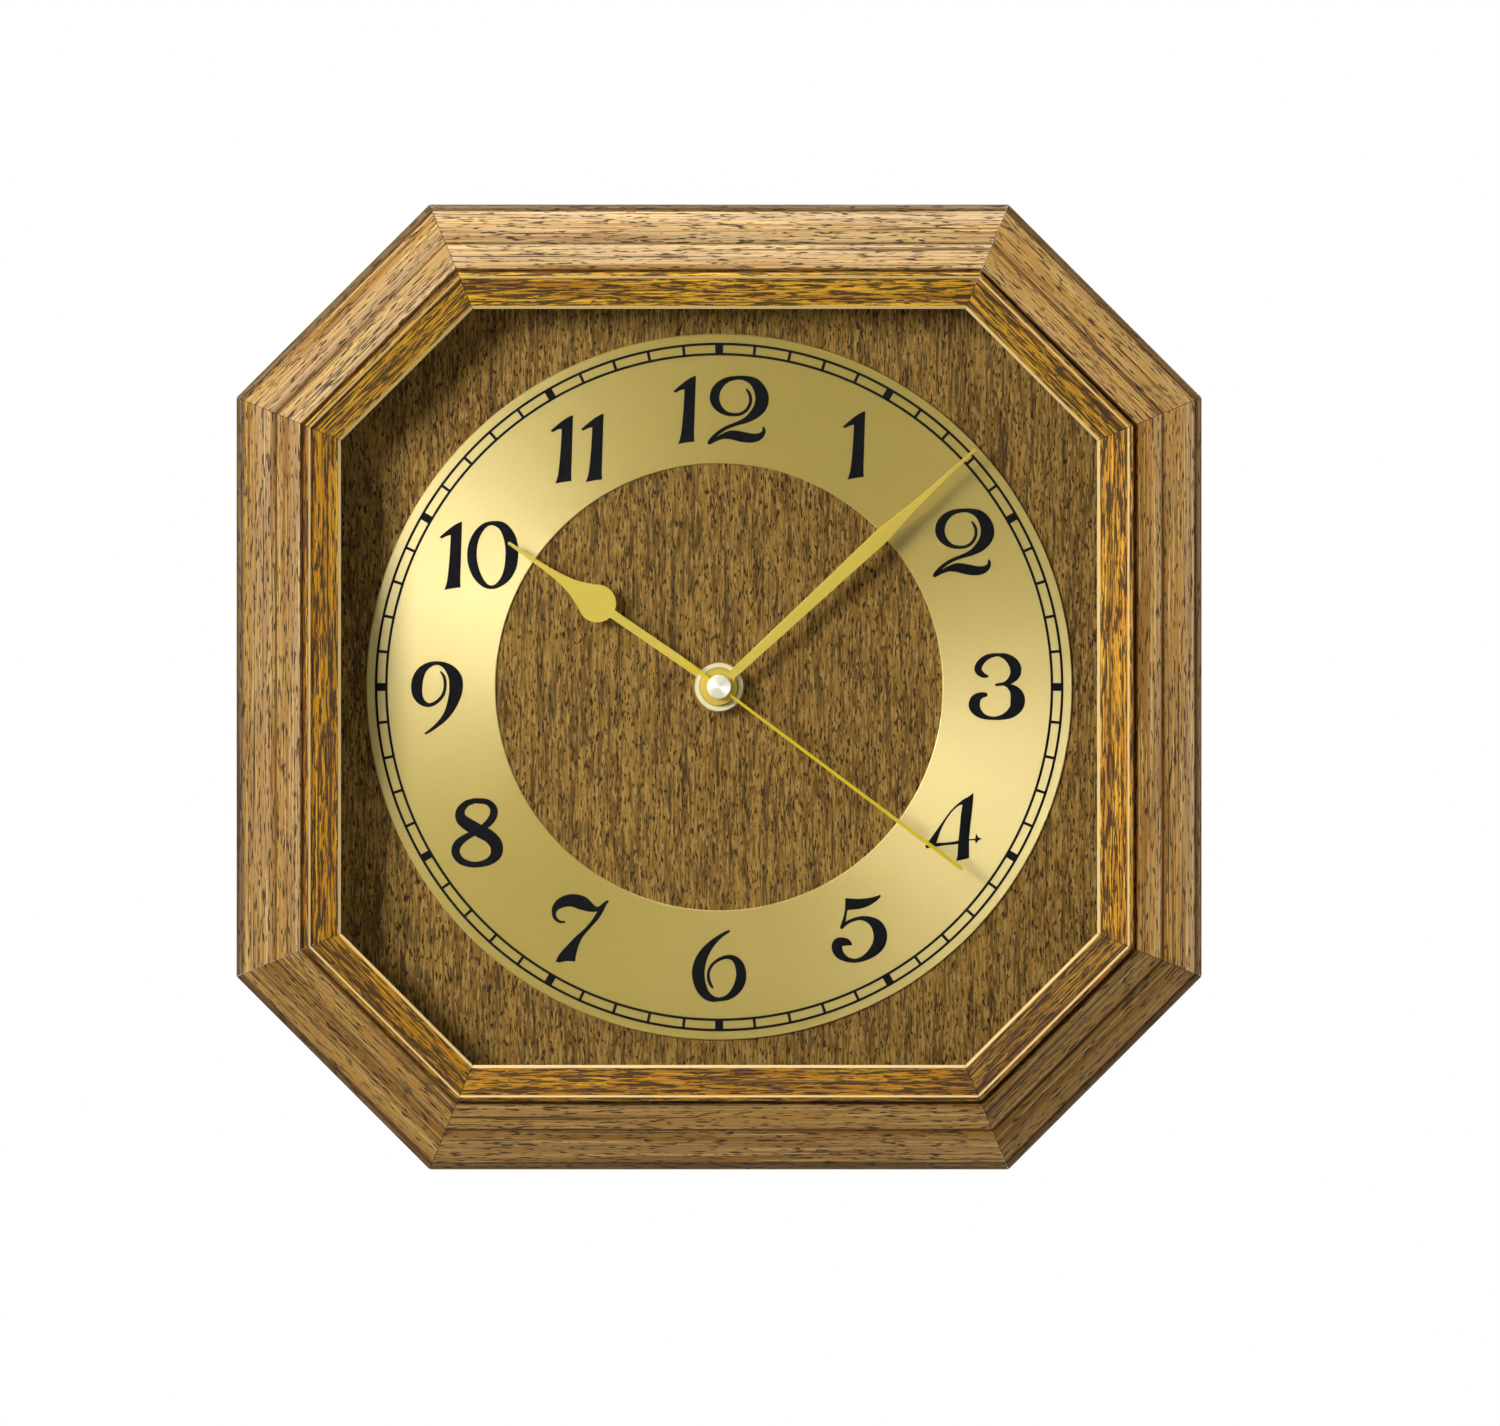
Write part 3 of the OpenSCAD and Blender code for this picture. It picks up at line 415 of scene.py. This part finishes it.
def lacquered_brass(name, hub, tone):
    """Hand lacquered in one tone, with a turned hub inside a radius of hub metres: its face
    darker, as painted shade, and its rim lightened, as a painted highlight.
    """
    g = Graph(name)
    _, radius = from_axis(g)
    turned = g.rest(step(g, radius, hub - HUB_EDGE_SOFT, hub + HUB_EDGE_SOFT))
    cloud = g.noise(g.place(), 160, detail=3, rough=0.6)
    line = g.node("CombineXYZ", {"X": radius}).outputs[0]
    groove = g.noise(line, FINE_GROOVES, rough=0.6)
    colour = g.mix(cloud, tone, scaled(tone, 0.9))
    # The hub's face is darkened as painted shade and its rim lightened as a painted highlight
    rim = step(g, radius, *HUB_RIM_FROM)
    hub_shade_and_highlight = g.mix(rim, scaled(tone, 0.8), HUB_RIM_HIGHLIGHT)
    g.set(Base_Color=g.mix(turned, colour, hub_shade_and_highlight), Metallic=0.55)
    g.set(Roughness=g.span(cloud, 0.34, 0.42))
    g.set(Coat_Weight=0.2, Coat_Roughness=0.1)
    g.bump(g.times(groove, turned), depth=0.000008, strength=0.5)
    return g.material


def battery_sleeve(name):
    """Printed plastic sleeve, dark with a bright band at the positive end, between bare ends."""
    g = Graph(name)
    low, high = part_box("battery")
    x = g.node("SeparateXYZ", {"Vector": g.place()}).outputs["X"]
    along = g.math("DIVIDE", g.math("SUBTRACT", x, low.x), high.x - low.x)
    sheen = g.noise(g.place(), 140)
    band = between(g, along, *BATTERY_BAND, BATTERY_SOFT)
    bare = g.rest(between(g, along, *BATTERY_SLEEVE, BATTERY_SOFT))
    printed_face = g.mix(band, BATTERY_BLACK, BATTERY_ORANGE)
    g.set(Base_Color=g.mix(bare, printed_face, BATTERY_STEEL), Metallic=bare)
    g.set(Roughness=g.span(sheen, 0.28, 0.40))
    g.bump(sheen, depth=0.00001, strength=0.3)
    return g.material


def pane(name):
    """Clear glass that lets lamps through to what it covers."""
    g = Graph(name)
    haze = g.noise(g.place(), 30)
    g.set(Base_Color=(*GLASS_TINT, 1), Transmission_Weight=1.0, IOR=1.45)
    g.set(Roughness=g.ramp(haze, (0.6, 0.0), (1.0, 0.015)))
    clear = g.node("BsdfTransparent", {"Color": (*GLASS_CLEAR, 1)}).outputs[0]
    path = g.node("LightPath").outputs
    passes = g.stronger(path["Is Shadow Ray"], path["Is Diffuse Ray"])
    both = g.node("MixShader", {0: passes, 1: g.shader.outputs[0], 2: clear})
    g.tree.links.new(both.outputs[0], g.output.inputs["Surface"])
    return g.material


def ink(name):
    """Black screen-printed ink, a little uneven."""
    g = Graph(name)
    body = g.noise(g.place(), 700, rough=0.6)
    g.set(Base_Color=g.mix(body, INK_DARK, INK_LIGHT))
    g.set(Roughness=g.span(body, 0.5, 0.65))
    g.set(Specular_IOR_Level=0.08)
    g.bump(body, depth=0.000008, strength=0.4)
    return g.material


# ---------------------------------------------------------------- CAD nodes: finish

WELD_GAP = 0.000002
BEVEL_STEPS = 2
HARD_ANGLE = math.radians(35)


def dress(node, material, bevel=0.0):
    """Gives a CAD node its material, with its split points welded and its edges eased by bevel
    millimetres."""
    obj = NODES[node]
    obj.data.materials.clear()
    obj.data.materials.append(material)
    weld = obj.modifiers.new("weld", "WELD")
    weld.merge_threshold = WELD_GAP
    if bevel:
        edge = obj.modifiers.new("eased_edges", "BEVEL")
        edge.width = bevel * MM
        edge.segments = BEVEL_STEPS
        edge.limit_method = "ANGLE"
        edge.angle_limit = HARD_ANGLE
        edge.harden_normals = True
        edge.use_clamp_overlap = True


CORNER_CUT = 0.060
FLAT_EDGE = cad_box[1].x
CORNER_EDGE = (2 * FLAT_EDGE - CORNER_CUT) / math.sqrt(2)
# Each rail clockwise from the top, how light its wood is drawn, and its share of painted sheen:
# painted light and shade by the way the rail faces, lighter above and darker below, with some
# of each stick's own tone
RAILS = (
    ("top_rail", 1.1, 0.85),
    ("upper_right_rail", 0.96, 0.4),
    ("right_rail", 1.14, 0.0),
    ("lower_right_rail", 0.58, 0.0),
    ("bottom_rail", 0.78, 0.0),
    ("lower_left_rail", 0.74, 0.0),
    ("left_rail", 0.88, 0.0),
    ("upper_left_rail", 0.97, 0.5),
)
RAIL_SEED = 0.31
for i, (rail, shade, painted_sheen) in enumerate(RAILS):
    edge = CORNER_EDGE if i % 2 else FLAT_EDGE
    wood = oak("oak_" + rail, -math.radians(45 * i), edge, RAIL_SEED * (i + 1), shade, painted_sheen)
    dress(rail, wood, bevel=0.25)

dress("dial_board", veneer("dial_veneer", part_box("dial_board")[0].y), bevel=0.15)
dress("spacer_strips", moulded("dark_stain", (0.016, 0.009, 0.005), 0.6), bevel=0.1)
dress("chapter_ring", circular_brushed("brushed_gold", GOLD, 0.52, 0.73, RING_GROOVES))
dress("front_glass", pane("clear_glass"), bevel=0.2)

# Each hand's hub radius and tone; the smallest radius stands for no turned hub
NO_HUB = 0.0001
HANDS = {
    "hour_hand": (0.0076, BRASS),
    "minute_hand": (NO_HUB, BRASS),
    "second_hand": (NO_HUB, YELLOW),
}
for node, (hub, tone) in HANDS.items():
    dress(node, lacquered_brass("brass_" + node, hub, tone), bevel=0.12)
turned_brass = circular_brushed("turned_brass", BRASS, 0.4, 0.5, FINE_GROOVES)
for node in ("hour_hand_collet", "minute_hand_collet", "second_hand_socket"):
    dress(node, turned_brass, bevel=0.08)
dress("centre_cap", circular_brushed("turned_cap", CREAM, 0.55, 0.8, FINE_GROOVES))

FINISHES = (
    (metal("zinc_steel", (0.58, 0.58, 0.60), 0.34), (
        "corner_v_nails", "dial_clips", "clip_screws", "quartz_crystal",
        "battery_contact_positive", "battery_contact_negative",
    )),
    (metal("hanger_brass", (0.66, 0.45, 0.15), 0.3), (
        "hanger_plate", "hanger_screws", "threaded_bush", "flat_washer", "hex_nut",
    )),
    (moulded("black_plastic", (0.012, 0.012, 0.013), 0.5), (
        "movement_front_case", "movement_back_case",
    )),
    (moulded("white_plastic", (0.72, 0.70, 0.62), 0.42), (
        "middle_plate", "coil_bobbin", "fifth_wheel", "second_wheel", "third_wheel",
        "centre_wheel", "motion_wheel", "hour_wheel",
    )),
    (moulded("knob_plastic", (0.70, 0.68, 0.60), 0.4), ("setting_knob",)),
    (moulded("rubber", (0.014, 0.014, 0.014), 0.7), ("rubber_washer",)),
    (moulded("circuit_green", (0.012, 0.10, 0.035), 0.3), ("circuit_board",)),
    (moulded("resin", (0.01, 0.01, 0.011), 0.25), ("controller_chip",)),
    (metal("enamelled_copper", (0.52, 0.15, 0.045), 0.3), ("coil_winding",)),
    (metal("soft_iron", (0.36, 0.36, 0.38), 0.45), ("coil_core", "stator")),
    (metal("magnet", (0.12, 0.12, 0.13), 0.5), ("rotor",)),
    (battery_sleeve("battery_sleeve"), ("battery",)),
)
SMALL_BEVEL = 0.05
BEVELS = {"movement_front_case": 0.25, "movement_back_case": 0.25, "hanger_plate": 0.1}
for material, nodes in FINISHES:
    for node in nodes:
        dress(node, material, bevel=BEVELS.get(node, SMALL_BEVEL))

# ---------------------------------------------------------------- printed numerals and track

# A numeral is drawn on a grid of 720 units to 27.95 mm, with its middle at (360, 360) and y
# downwards. A stroke is a line of (x, y, half-width), and an outline is a line of (x, y), with
# a third number at a sharp corner. Both are smooth curves through their points.
GRID_UNIT = 27.95 / 720
GRID_MIDDLE = 360
# Ink's thickness on the ring
INK_T = 0.00004
# Steps of a curve from one of its points to the next, and sides of a stroke's round end
CURVE_STEPS = 7
ROUND_SIDES = 14
# What makes a plate of overlapping polygons: only cells inside them, and points this near as one
INSIDE_ONLY = 1
SAME_POINT = 1e-5

STROKES = {
    "2": [
        [
            (447, 158, 8), (466, 185, 12), (479, 225, 13), (474, 275, 13), (445, 325, 13),
            (395, 355, 13), (340, 360, 14), (285, 350, 18), (235, 318, 27), (200, 270, 36),
            (190, 220, 39), (203, 165, 37), (240, 115, 30), (300, 78, 21), (385, 64, 16),
            (455, 74, 24), (512, 103, 38), (553, 160, 49), (571, 225, 55), (558, 292, 52),
            (513, 353, 41), (445, 402, 25), (370, 432, 16), (290, 463, 15), (215, 510, 15),
            (165, 560, 16), (148, 586, 15),
        ],
        [
            (150, 588, 13), (200, 560, 15), (260, 533, 23), (330, 523, 37), (410, 538, 42),
            (490, 548, 37), (550, 535, 28), (584, 500, 16), (583, 467, 10),
        ],
    ],
    "3": [
        [
            (268, 273, 12), (236, 266, 21), (205, 240, 28), (195, 212, 30), (212, 170, 28),
            (255, 128, 23), (310, 107, 17), (360, 102, 14), (420, 118, 27), (470, 158, 41),
            (497, 210, 46), (490, 265, 41), (455, 308, 28), (410, 332, 16), (360, 340, 12),
            (342, 343, 11),
        ],
        [
            (400, 338, 10), (440, 352, 20), (483, 385, 40), (508, 430, 55), (513, 475, 59),
            (500, 525, 52), (455, 573, 38), (390, 602, 22), (320, 611, 14), (250, 600, 20),
            (195, 565, 35), (165, 515, 45), (175, 462, 42), (212, 430, 28), (254, 422, 18),
        ],
    ],
    "5": [
        [
            (222, 350, 12), (255, 316, 14), (310, 288, 14), (375, 273, 16), (440, 286, 28),
            (495, 322, 45), (526, 375, 54), (532, 430, 55), (515, 490, 50), (468, 548, 38),
            (405, 592, 24), (335, 614, 17), (265, 603, 22), (208, 565, 36), (184, 512, 43),
            (195, 470, 40), (235, 462, 34), (270, 468, 27), (292, 480, 14),
        ],
    ],
    "6": [
        [
            (437, 77, 11), (400, 98, 14), (350, 133, 19), (300, 178, 27), (252, 236, 37),
            (215, 305, 46), (194, 385, 51), (195, 450, 50), (212, 520, 46), (247, 580, 38),
            (300, 617, 27), (362, 624, 16), (430, 606, 23), (490, 556, 35), (526, 490, 42),
            (537, 420, 41), (522, 350, 37), (485, 301, 26), (430, 284, 17), (370, 299, 14),
            (315, 335, 12), (285, 378, 12), (273, 425, 12), (279, 475, 13), (295, 510, 12),
            (308, 530, 8),
        ],
    ],
    "7": [
        [
            (240, 303, 8), (205, 302, 11), (172, 280, 14), (155, 240, 16), (165, 195, 26),
            (203, 157, 39), (260, 134, 47), (320, 132, 53), (385, 153, 56), (443, 184, 39),
            (490, 200, 22), (525, 190, 15), (560, 160, 14), (584, 140, 11),
        ],
    ],
    "8": [
        [
            (365, 153, 22), (440, 162, 24), (487, 205, 29), (493, 260, 32), (462, 318, 30),
            (400, 372, 26), (330, 412, 24), (262, 450, 28), (205, 500, 34), (187, 565, 34),
            (225, 628, 30), (300, 660, 25), (380, 661, 24), (460, 635, 32), (512, 580, 46),
            (513, 505, 52), (460, 440, 52), (385, 398, 52), (300, 350, 52), (235, 298, 46),
            (226, 235, 36), (270, 178, 27), (330, 155, 22), (365, 153, 22),
        ],
    ],
    "9": [
        [
            (370, 240, 8), (393, 275, 12), (404, 330, 13), (397, 395, 13), (372, 445, 14),
            (325, 487, 15), (270, 505, 17), (215, 478, 28), (181, 420, 41), (176, 350, 46),
            (190, 280, 43), (225, 220, 33), (280, 181, 21), (342, 168, 15), (400, 186, 25),
            (450, 228, 42), (484, 285, 53), (492, 340, 56), (486, 410, 52), (466, 480, 44),
            (436, 550, 34), (396, 610, 25), (346, 660, 18), (290, 705, 13), (248, 732, 9),
        ],
    ],
    "0": [
        [
            (480, 167, 17), (560, 190, 34), (612, 262, 47), (636, 350, 52), (638, 430, 52),
            (626, 520, 48), (588, 605, 36), (530, 662, 21), (475, 681, 15), (420, 662, 21),
            (365, 597, 33), (331, 515, 38), (318, 430, 39), (327, 340, 36), (360, 255, 30),
            (415, 190, 21), (480, 167, 17),
        ],
    ],
}
OUTLINES = {
    "1": [
        [
            (412, 90, 1), (408, 200), (402, 400), (397, 560), (400, 617, 1), (335, 625),
            (268, 638, 1), (288, 575), (302, 470), (313, 330), (320, 198, 1), (290, 205),
            (247, 226, 1), (230, 214, 1), (262, 185), (330, 130), (385, 97),
        ],
    ],
    "4": [
        [
            (460, 88, 1), (452, 200), (436, 330), (424, 452, 1), (424, 540), (424, 612, 1),
            (375, 624), (318, 635, 1), (330, 590), (334, 510), (350, 350), (358, 260),
            (370, 185, 1), (330, 178, 1), (400, 130),
        ],
        [
            (372, 183, 1), (345, 190), (300, 226), (250, 290), (205, 370), (176, 445),
            (160, 492, 1), (120, 525), (80, 535, 1), (72, 512, 1), (104, 470), (150, 405),
            (210, 320), (270, 238), (330, 178), (400, 128),
        ],
        [
            (104, 520, 1), (160, 492), (220, 488), (290, 481), (345, 468, 1), (425, 460),
            (472, 455, 1), (480, 414, 1), (500, 445), (531, 457, 1), (500, 470), (478, 497, 1),
            (470, 470, 1), (424, 472), (345, 497), (240, 508), (160, 520),
        ],
    ],
    "5": [
        [
            (250, 112, 1), (340, 117), (420, 113), (490, 99), (530, 84, 1), (538, 98, 1),
            (500, 136), (440, 174), (370, 198), (300, 206), (268, 210, 1), (262, 250),
            (254, 296, 1), (240, 338), (222, 360), (207, 346, 1), (234, 270), (248, 200),
        ],
    ],
    "7": [
        [
            (586, 140, 1), (570, 182), (520, 270), (450, 350), (390, 420), (355, 490),
            (335, 560), (325, 622, 1), (260, 617), (200, 630, 1), (168, 620, 1), (200, 560),
            (262, 490), (330, 420), (400, 358), (460, 288), (512, 205, 1), (560, 160),
        ],
    ],
}
# Each hour's digits, with how far each is moved on the grid
NUMERALS = {
    1: [("1", 0, 0)],
    2: [("2", 0, 0)],
    3: [("3", 0, 0)],
    4: [("4", 0, 0)],
    5: [("5", 0, 0)],
    6: [("6", 0, 0)],
    7: [("7", 0, 0)],
    8: [("8", 0, 0)],
    9: [("9", 0, 0)],
    10: [("1", -172, 65), ("0", 0, 0)],
    11: [("1", -102, 32), ("1", 143, 20)],
    12: [("1", -238, 16), ("2", 133, 57)],
}
# Radii and widths of the printing, in millimetres
NUMERAL_R = 87.0
TRACK_R = (103.6, 106.8)
TRACK_LINE = 0.8
TICK_W = 0.9
BLOCK_W = 2.5
TRACK_SIDES = 360


def curve_through(points, closed):
    """Smooth curve (Catmull-Rom) through points of any dimension, several steps to each."""
    n = len(points)
    found = []
    for i in range(n if closed else n - 1):
        a, b, c, d = (
            points[(i + k) % n] if closed else points[min(max(i + k, 0), n - 1)]
            for k in (-1, 0, 1, 2)
        )
        for s in range(CURVE_STEPS):
            t = s / CURVE_STEPS
            found.append(tuple(
                0.5 * (2 * q + (r - p) * t + (2 * p - 5 * q + 4 * r - u) * t * t
                       + (3 * q - p - 3 * r + u) * t ** 3)
                for p, q, r, u in zip(a, b, c, d)
            ))
    if not closed:
        found.append(tuple(points[-1]))
    return found


def outline_polygon(points):
    """Closed outline that starts at a sharp corner: a smooth curve from each such corner to
    the next."""
    flat = [p[:2] for p in points] + [points[0][:2]]
    corners = [i for i, p in enumerate(points) if len(p) == 3] + [len(points)]
    ring = []
    for a, b in zip(corners, corners[1:]):
        ring += curve_through(flat[a:b + 1], closed=False)[:-1]
    return ring


def round_end(x, y, r):
    """The disc that rounds a stroke's open end."""
    angles = (math.tau * k / ROUND_SIDES for k in range(ROUND_SIDES))
    return [(x + r * math.cos(a), y + r * math.sin(a)) for a in angles]


def stroke_polygons(points):
    """A stroke as a row of four-sided pieces, with a round end at each open end."""
    closed = points[0] == points[-1]
    line = curve_through(points[:-1] if closed else points, closed)
    n = len(line)
    sides = []
    for i, (x, y, w) in enumerate(line):
        before = line[(i - 1) % n] if closed or i else line[0]
        after = line[(i + 1) % n] if closed or i < n - 1 else line[-1]
        along = Vector((after[0] - before[0], after[1] - before[1])).normalized()
        sides.append(((x - along.y * w, y + along.x * w), (x + along.y * w, y - along.x * w)))
    pairs = list(zip(sides, sides[1:] + sides[:1])) if closed else list(zip(sides, sides[1:]))
    polygons = [[a[0], b[0], b[1], a[1]] for a, b in pairs]
    if not closed:
        polygons += [round_end(*line[0]), round_end(*line[-1])]
    return polygons


def print_on_ring(name, polygons):
    """A thin closed plate of ink on the ring: the union of polygons of dial places."""
    points, faces = [], []
    for polygon in polygons:
        turns = zip(polygon, polygon[1:] + polygon[:1])
        if sum(a[0] * b[1] - b[0] * a[1] for a, b in turns) < 0:
            polygon = polygon[::-1]
        faces.append(list(range(len(points), len(points) + len(polygon))))
        points += [Vector(p) for p in polygon]
    flat, _, cells, _, _, sources = delaunay_2d_cdt(points, [], faces, INSIDE_ONLY, SAME_POINT)
    cells = [tuple(cell) for cell, source in zip(cells, sources) if source]
    n = len(flat)
    front = [on_dial(p.x, p.y, RING_FRONT - INK_T) for p in flat]
    rear = [on_dial(p.x, p.y, RING_FRONT) for p in flat]
    loops = cells + [tuple(n + i for i in reversed(cell)) for cell in cells]
    edges = dict.fromkeys(edge for cell in cells for edge in zip(cell, cell[1:] + cell[:1]))
    loops += [(b, a, n + a, n + b) for a, b in edges if (b, a) not in edges]
    mesh = bpy.data.meshes.new(name)
    mesh.from_pydata(front + rear, [], loops)
    mesh.validate()
    mesh.update()
    mesh.materials.append(printed_ink)
    made = bpy.data.objects.new(name, mesh)
    bpy.context.scene.collection.objects.link(made)
    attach(made, "clock")


def grid_to_dial(polygon, dx, dy, middle):
    """A digit's polygon as dial places, moved by (dx, dy) on the grid."""
    return [
        (
            middle[0] + (x + dx - GRID_MIDDLE) * GRID_UNIT,
            middle[1] - (y + dy - GRID_MIDDLE) * GRID_UNIT,
        )
        for x, y in polygon
    ]


def circle_band(r):
    """A thin circular line as a row of four-sided pieces."""
    inner, outer = (
        [clockwise(side, 360 * k / TRACK_SIDES) for k in range(TRACK_SIDES)]
        for side in (r - TRACK_LINE / 2, r + TRACK_LINE / 2)
    )
    return [
        [inner[k], inner[k - 1], outer[k - 1], outer[k]] for k in range(TRACK_SIDES)
    ]


def tick(degrees, width):
    """A straight mark across the minute track."""
    c, s = math.cos(math.radians(degrees)), math.sin(math.radians(degrees))
    corners = [(-1, TRACK_R[0]), (1, TRACK_R[0]), (1, TRACK_R[1]), (-1, TRACK_R[1])]
    return [(a * width / 2 * c + r * s, r * c - a * width / 2 * s) for a, r in corners]


printed_ink = ink("printed_ink")
for hour, digits in NUMERALS.items():
    middle = clockwise(NUMERAL_R, 30 * hour)
    polygons = []
    for digit, dx, dy in digits:
        shapes = [outline_polygon(outline) for outline in OUTLINES.get(digit, [])]
        for stroke in STROKES.get(digit, []):
            shapes += stroke_polygons(stroke)
        polygons += [grid_to_dial(shape, dx, dy, middle) for shape in shapes]
    print_on_ring(f"numeral_{hour:02d}", polygons)

track = circle_band(TRACK_R[0]) + circle_band(TRACK_R[1])
track += [tick(6 * k, TICK_W if k % 5 else BLOCK_W) for k in range(60)]
print_on_ring("minute_track", track)

# ---------------------------------------------------------------- stage, lights and camera

FLOOR_DROP = 0.75
FLOOR_HALF = 2.4
FLOOR_TONES = ((0.78, 0.78, 0.77), (0.82, 0.82, 0.81))

# Strength of the light from all round. It sets in over these Ys of a direction, so that the
# studio is dark behind the camera.
FILL = 0.06
FILL_FROM = (-0.98, -0.86)
NEUTRAL = (1.0, 0.98, 0.98)
WARM = (1.0, 0.96, 0.88)
# Lamps that face the dial's middle: the way to the lamp, how many times that way it stands
# off, its width and height, watts and tint
LAMPS = {
    "key": ((-0.65, -0.715, 0.25), 1.6, (0.5, 0.5), 30, NEUTRAL),
    "top": ((-0.05, -0.11, 0.99), 1.5, (1.1, 0.4), 27, WARM),
    "side": ((0.98, -0.11, 0.05), 1.6, (0.4, 0.9), 14, WARM),
}
# The lamp that faces the clock's back: its place from the point of the wall behind the dial's
# middle, its size and its watts
BACK_LAMP = ((0.5, 1.6, 1.0), (1.4, 1.4), 22)

# The camera stands square to the dial, a little right of its middle and below it
VIEW_W = 0.4652
CAMERA_SHIFT = (0.0096, -0.0081)
CAMERA_DISTANCE = 6.0
SENSOR_W = 36  # millimetres
CLIP_END = 20


def area_light(name, place, aim, size, power, colour):
    data = bpy.data.lights.new(name, "AREA")
    data.shape = "RECTANGLE"
    data.size, data.size_y = size
    data.energy = power
    data.color = colour
    lamp = bpy.data.objects.new(name, data)
    bpy.context.scene.collection.objects.link(lamp)
    lamp.location = place
    lamp.rotation_euler = (place - aim).to_track_quat("Z", "Y").to_euler()


def world():
    """White to the camera, and a faint warm fill for the clock."""
    made = bpy.data.worlds.new("studio")
    bpy.context.scene.world = made
    made.use_nodes = True
    tree = made.node_tree
    fill = tree.nodes["Background"]
    fill.inputs["Color"].default_value = (*WARM, 1)
    where = tree.nodes.new("ShaderNodeSeparateXYZ")
    tree.links.new(tree.nodes.new("ShaderNodeTexCoord").outputs["Generated"], where.inputs[0])
    strength = tree.nodes.new("ShaderNodeMapRange")
    for key, value in zip(("From Min", "From Max", "To Max"), (*FILL_FROM, FILL)):
        strength.inputs[key].default_value = value
    tree.links.new(where.outputs["Y"], strength.inputs["Value"])
    tree.links.new(strength.outputs[0], fill.inputs["Strength"])
    seen = tree.nodes.new("ShaderNodeBackground")
    seen.inputs["Color"].default_value = (1, 1, 1, 1)
    path = tree.nodes.new("ShaderNodeLightPath")
    mix = tree.nodes.new("ShaderNodeMixShader")
    tree.links.new(path.outputs["Is Camera Ray"], mix.inputs[0])
    tree.links.new(fill.outputs[0], mix.inputs[1])
    tree.links.new(seen.outputs[0], mix.inputs[2])
    tree.links.new(mix.outputs[0], tree.nodes["World Output"].inputs["Surface"])


def pale_floor():
    z = cad_box[0].z - FLOOR_DROP
    mesh = bpy.data.meshes.new("floor")
    corners = [(-1, -1), (1, -1), (1, 1), (-1, 1)]
    points = [(x * FLOOR_HALF, y * FLOOR_HALF, z) for x, y in corners]
    mesh.from_pydata(points, [], [(0, 1, 2, 3)])
    g = Graph("pale_floor")
    g.set(Base_Color=g.mix(g.noise(g.place(), 3, detail=3), *FLOOR_TONES), Roughness=0.7)
    mesh.materials.append(g.material)
    ground = bpy.data.objects.new("floor", mesh)
    bpy.context.scene.collection.objects.link(ground)


def lamps():
    aim = Vector((DIAL.x, RING_FRONT, DIAL.z))
    for name, (way, distance, size, power, colour) in LAMPS.items():
        area_light(name, aim + distance * Vector(way), aim, size, power, colour)
    wall = Vector((0, 0, DIAL.z))
    place, size, power = BACK_LAMP
    area_light("back_fill", wall + Vector(place), wall, size, power, WARM)


def camera():
    data = bpy.data.cameras.new("camera")
    data.sensor_width = SENSOR_W
    data.lens = SENSOR_W * CAMERA_DISTANCE / VIEW_W
    data.clip_end = CLIP_END
    eye = bpy.data.objects.new("camera", data)
    bpy.context.scene.collection.objects.link(eye)
    right, up = CAMERA_SHIFT
    eye.location = (DIAL.x + right, cad_box[0].y - CAMERA_DISTANCE, DIAL.z + up)
    eye.rotation_euler = (math.radians(90), 0, 0)
    bpy.context.scene.camera = eye


world()
pale_floor()
lamps()
camera()
bpy.context.scene.view_settings.view_transform = "Standard"
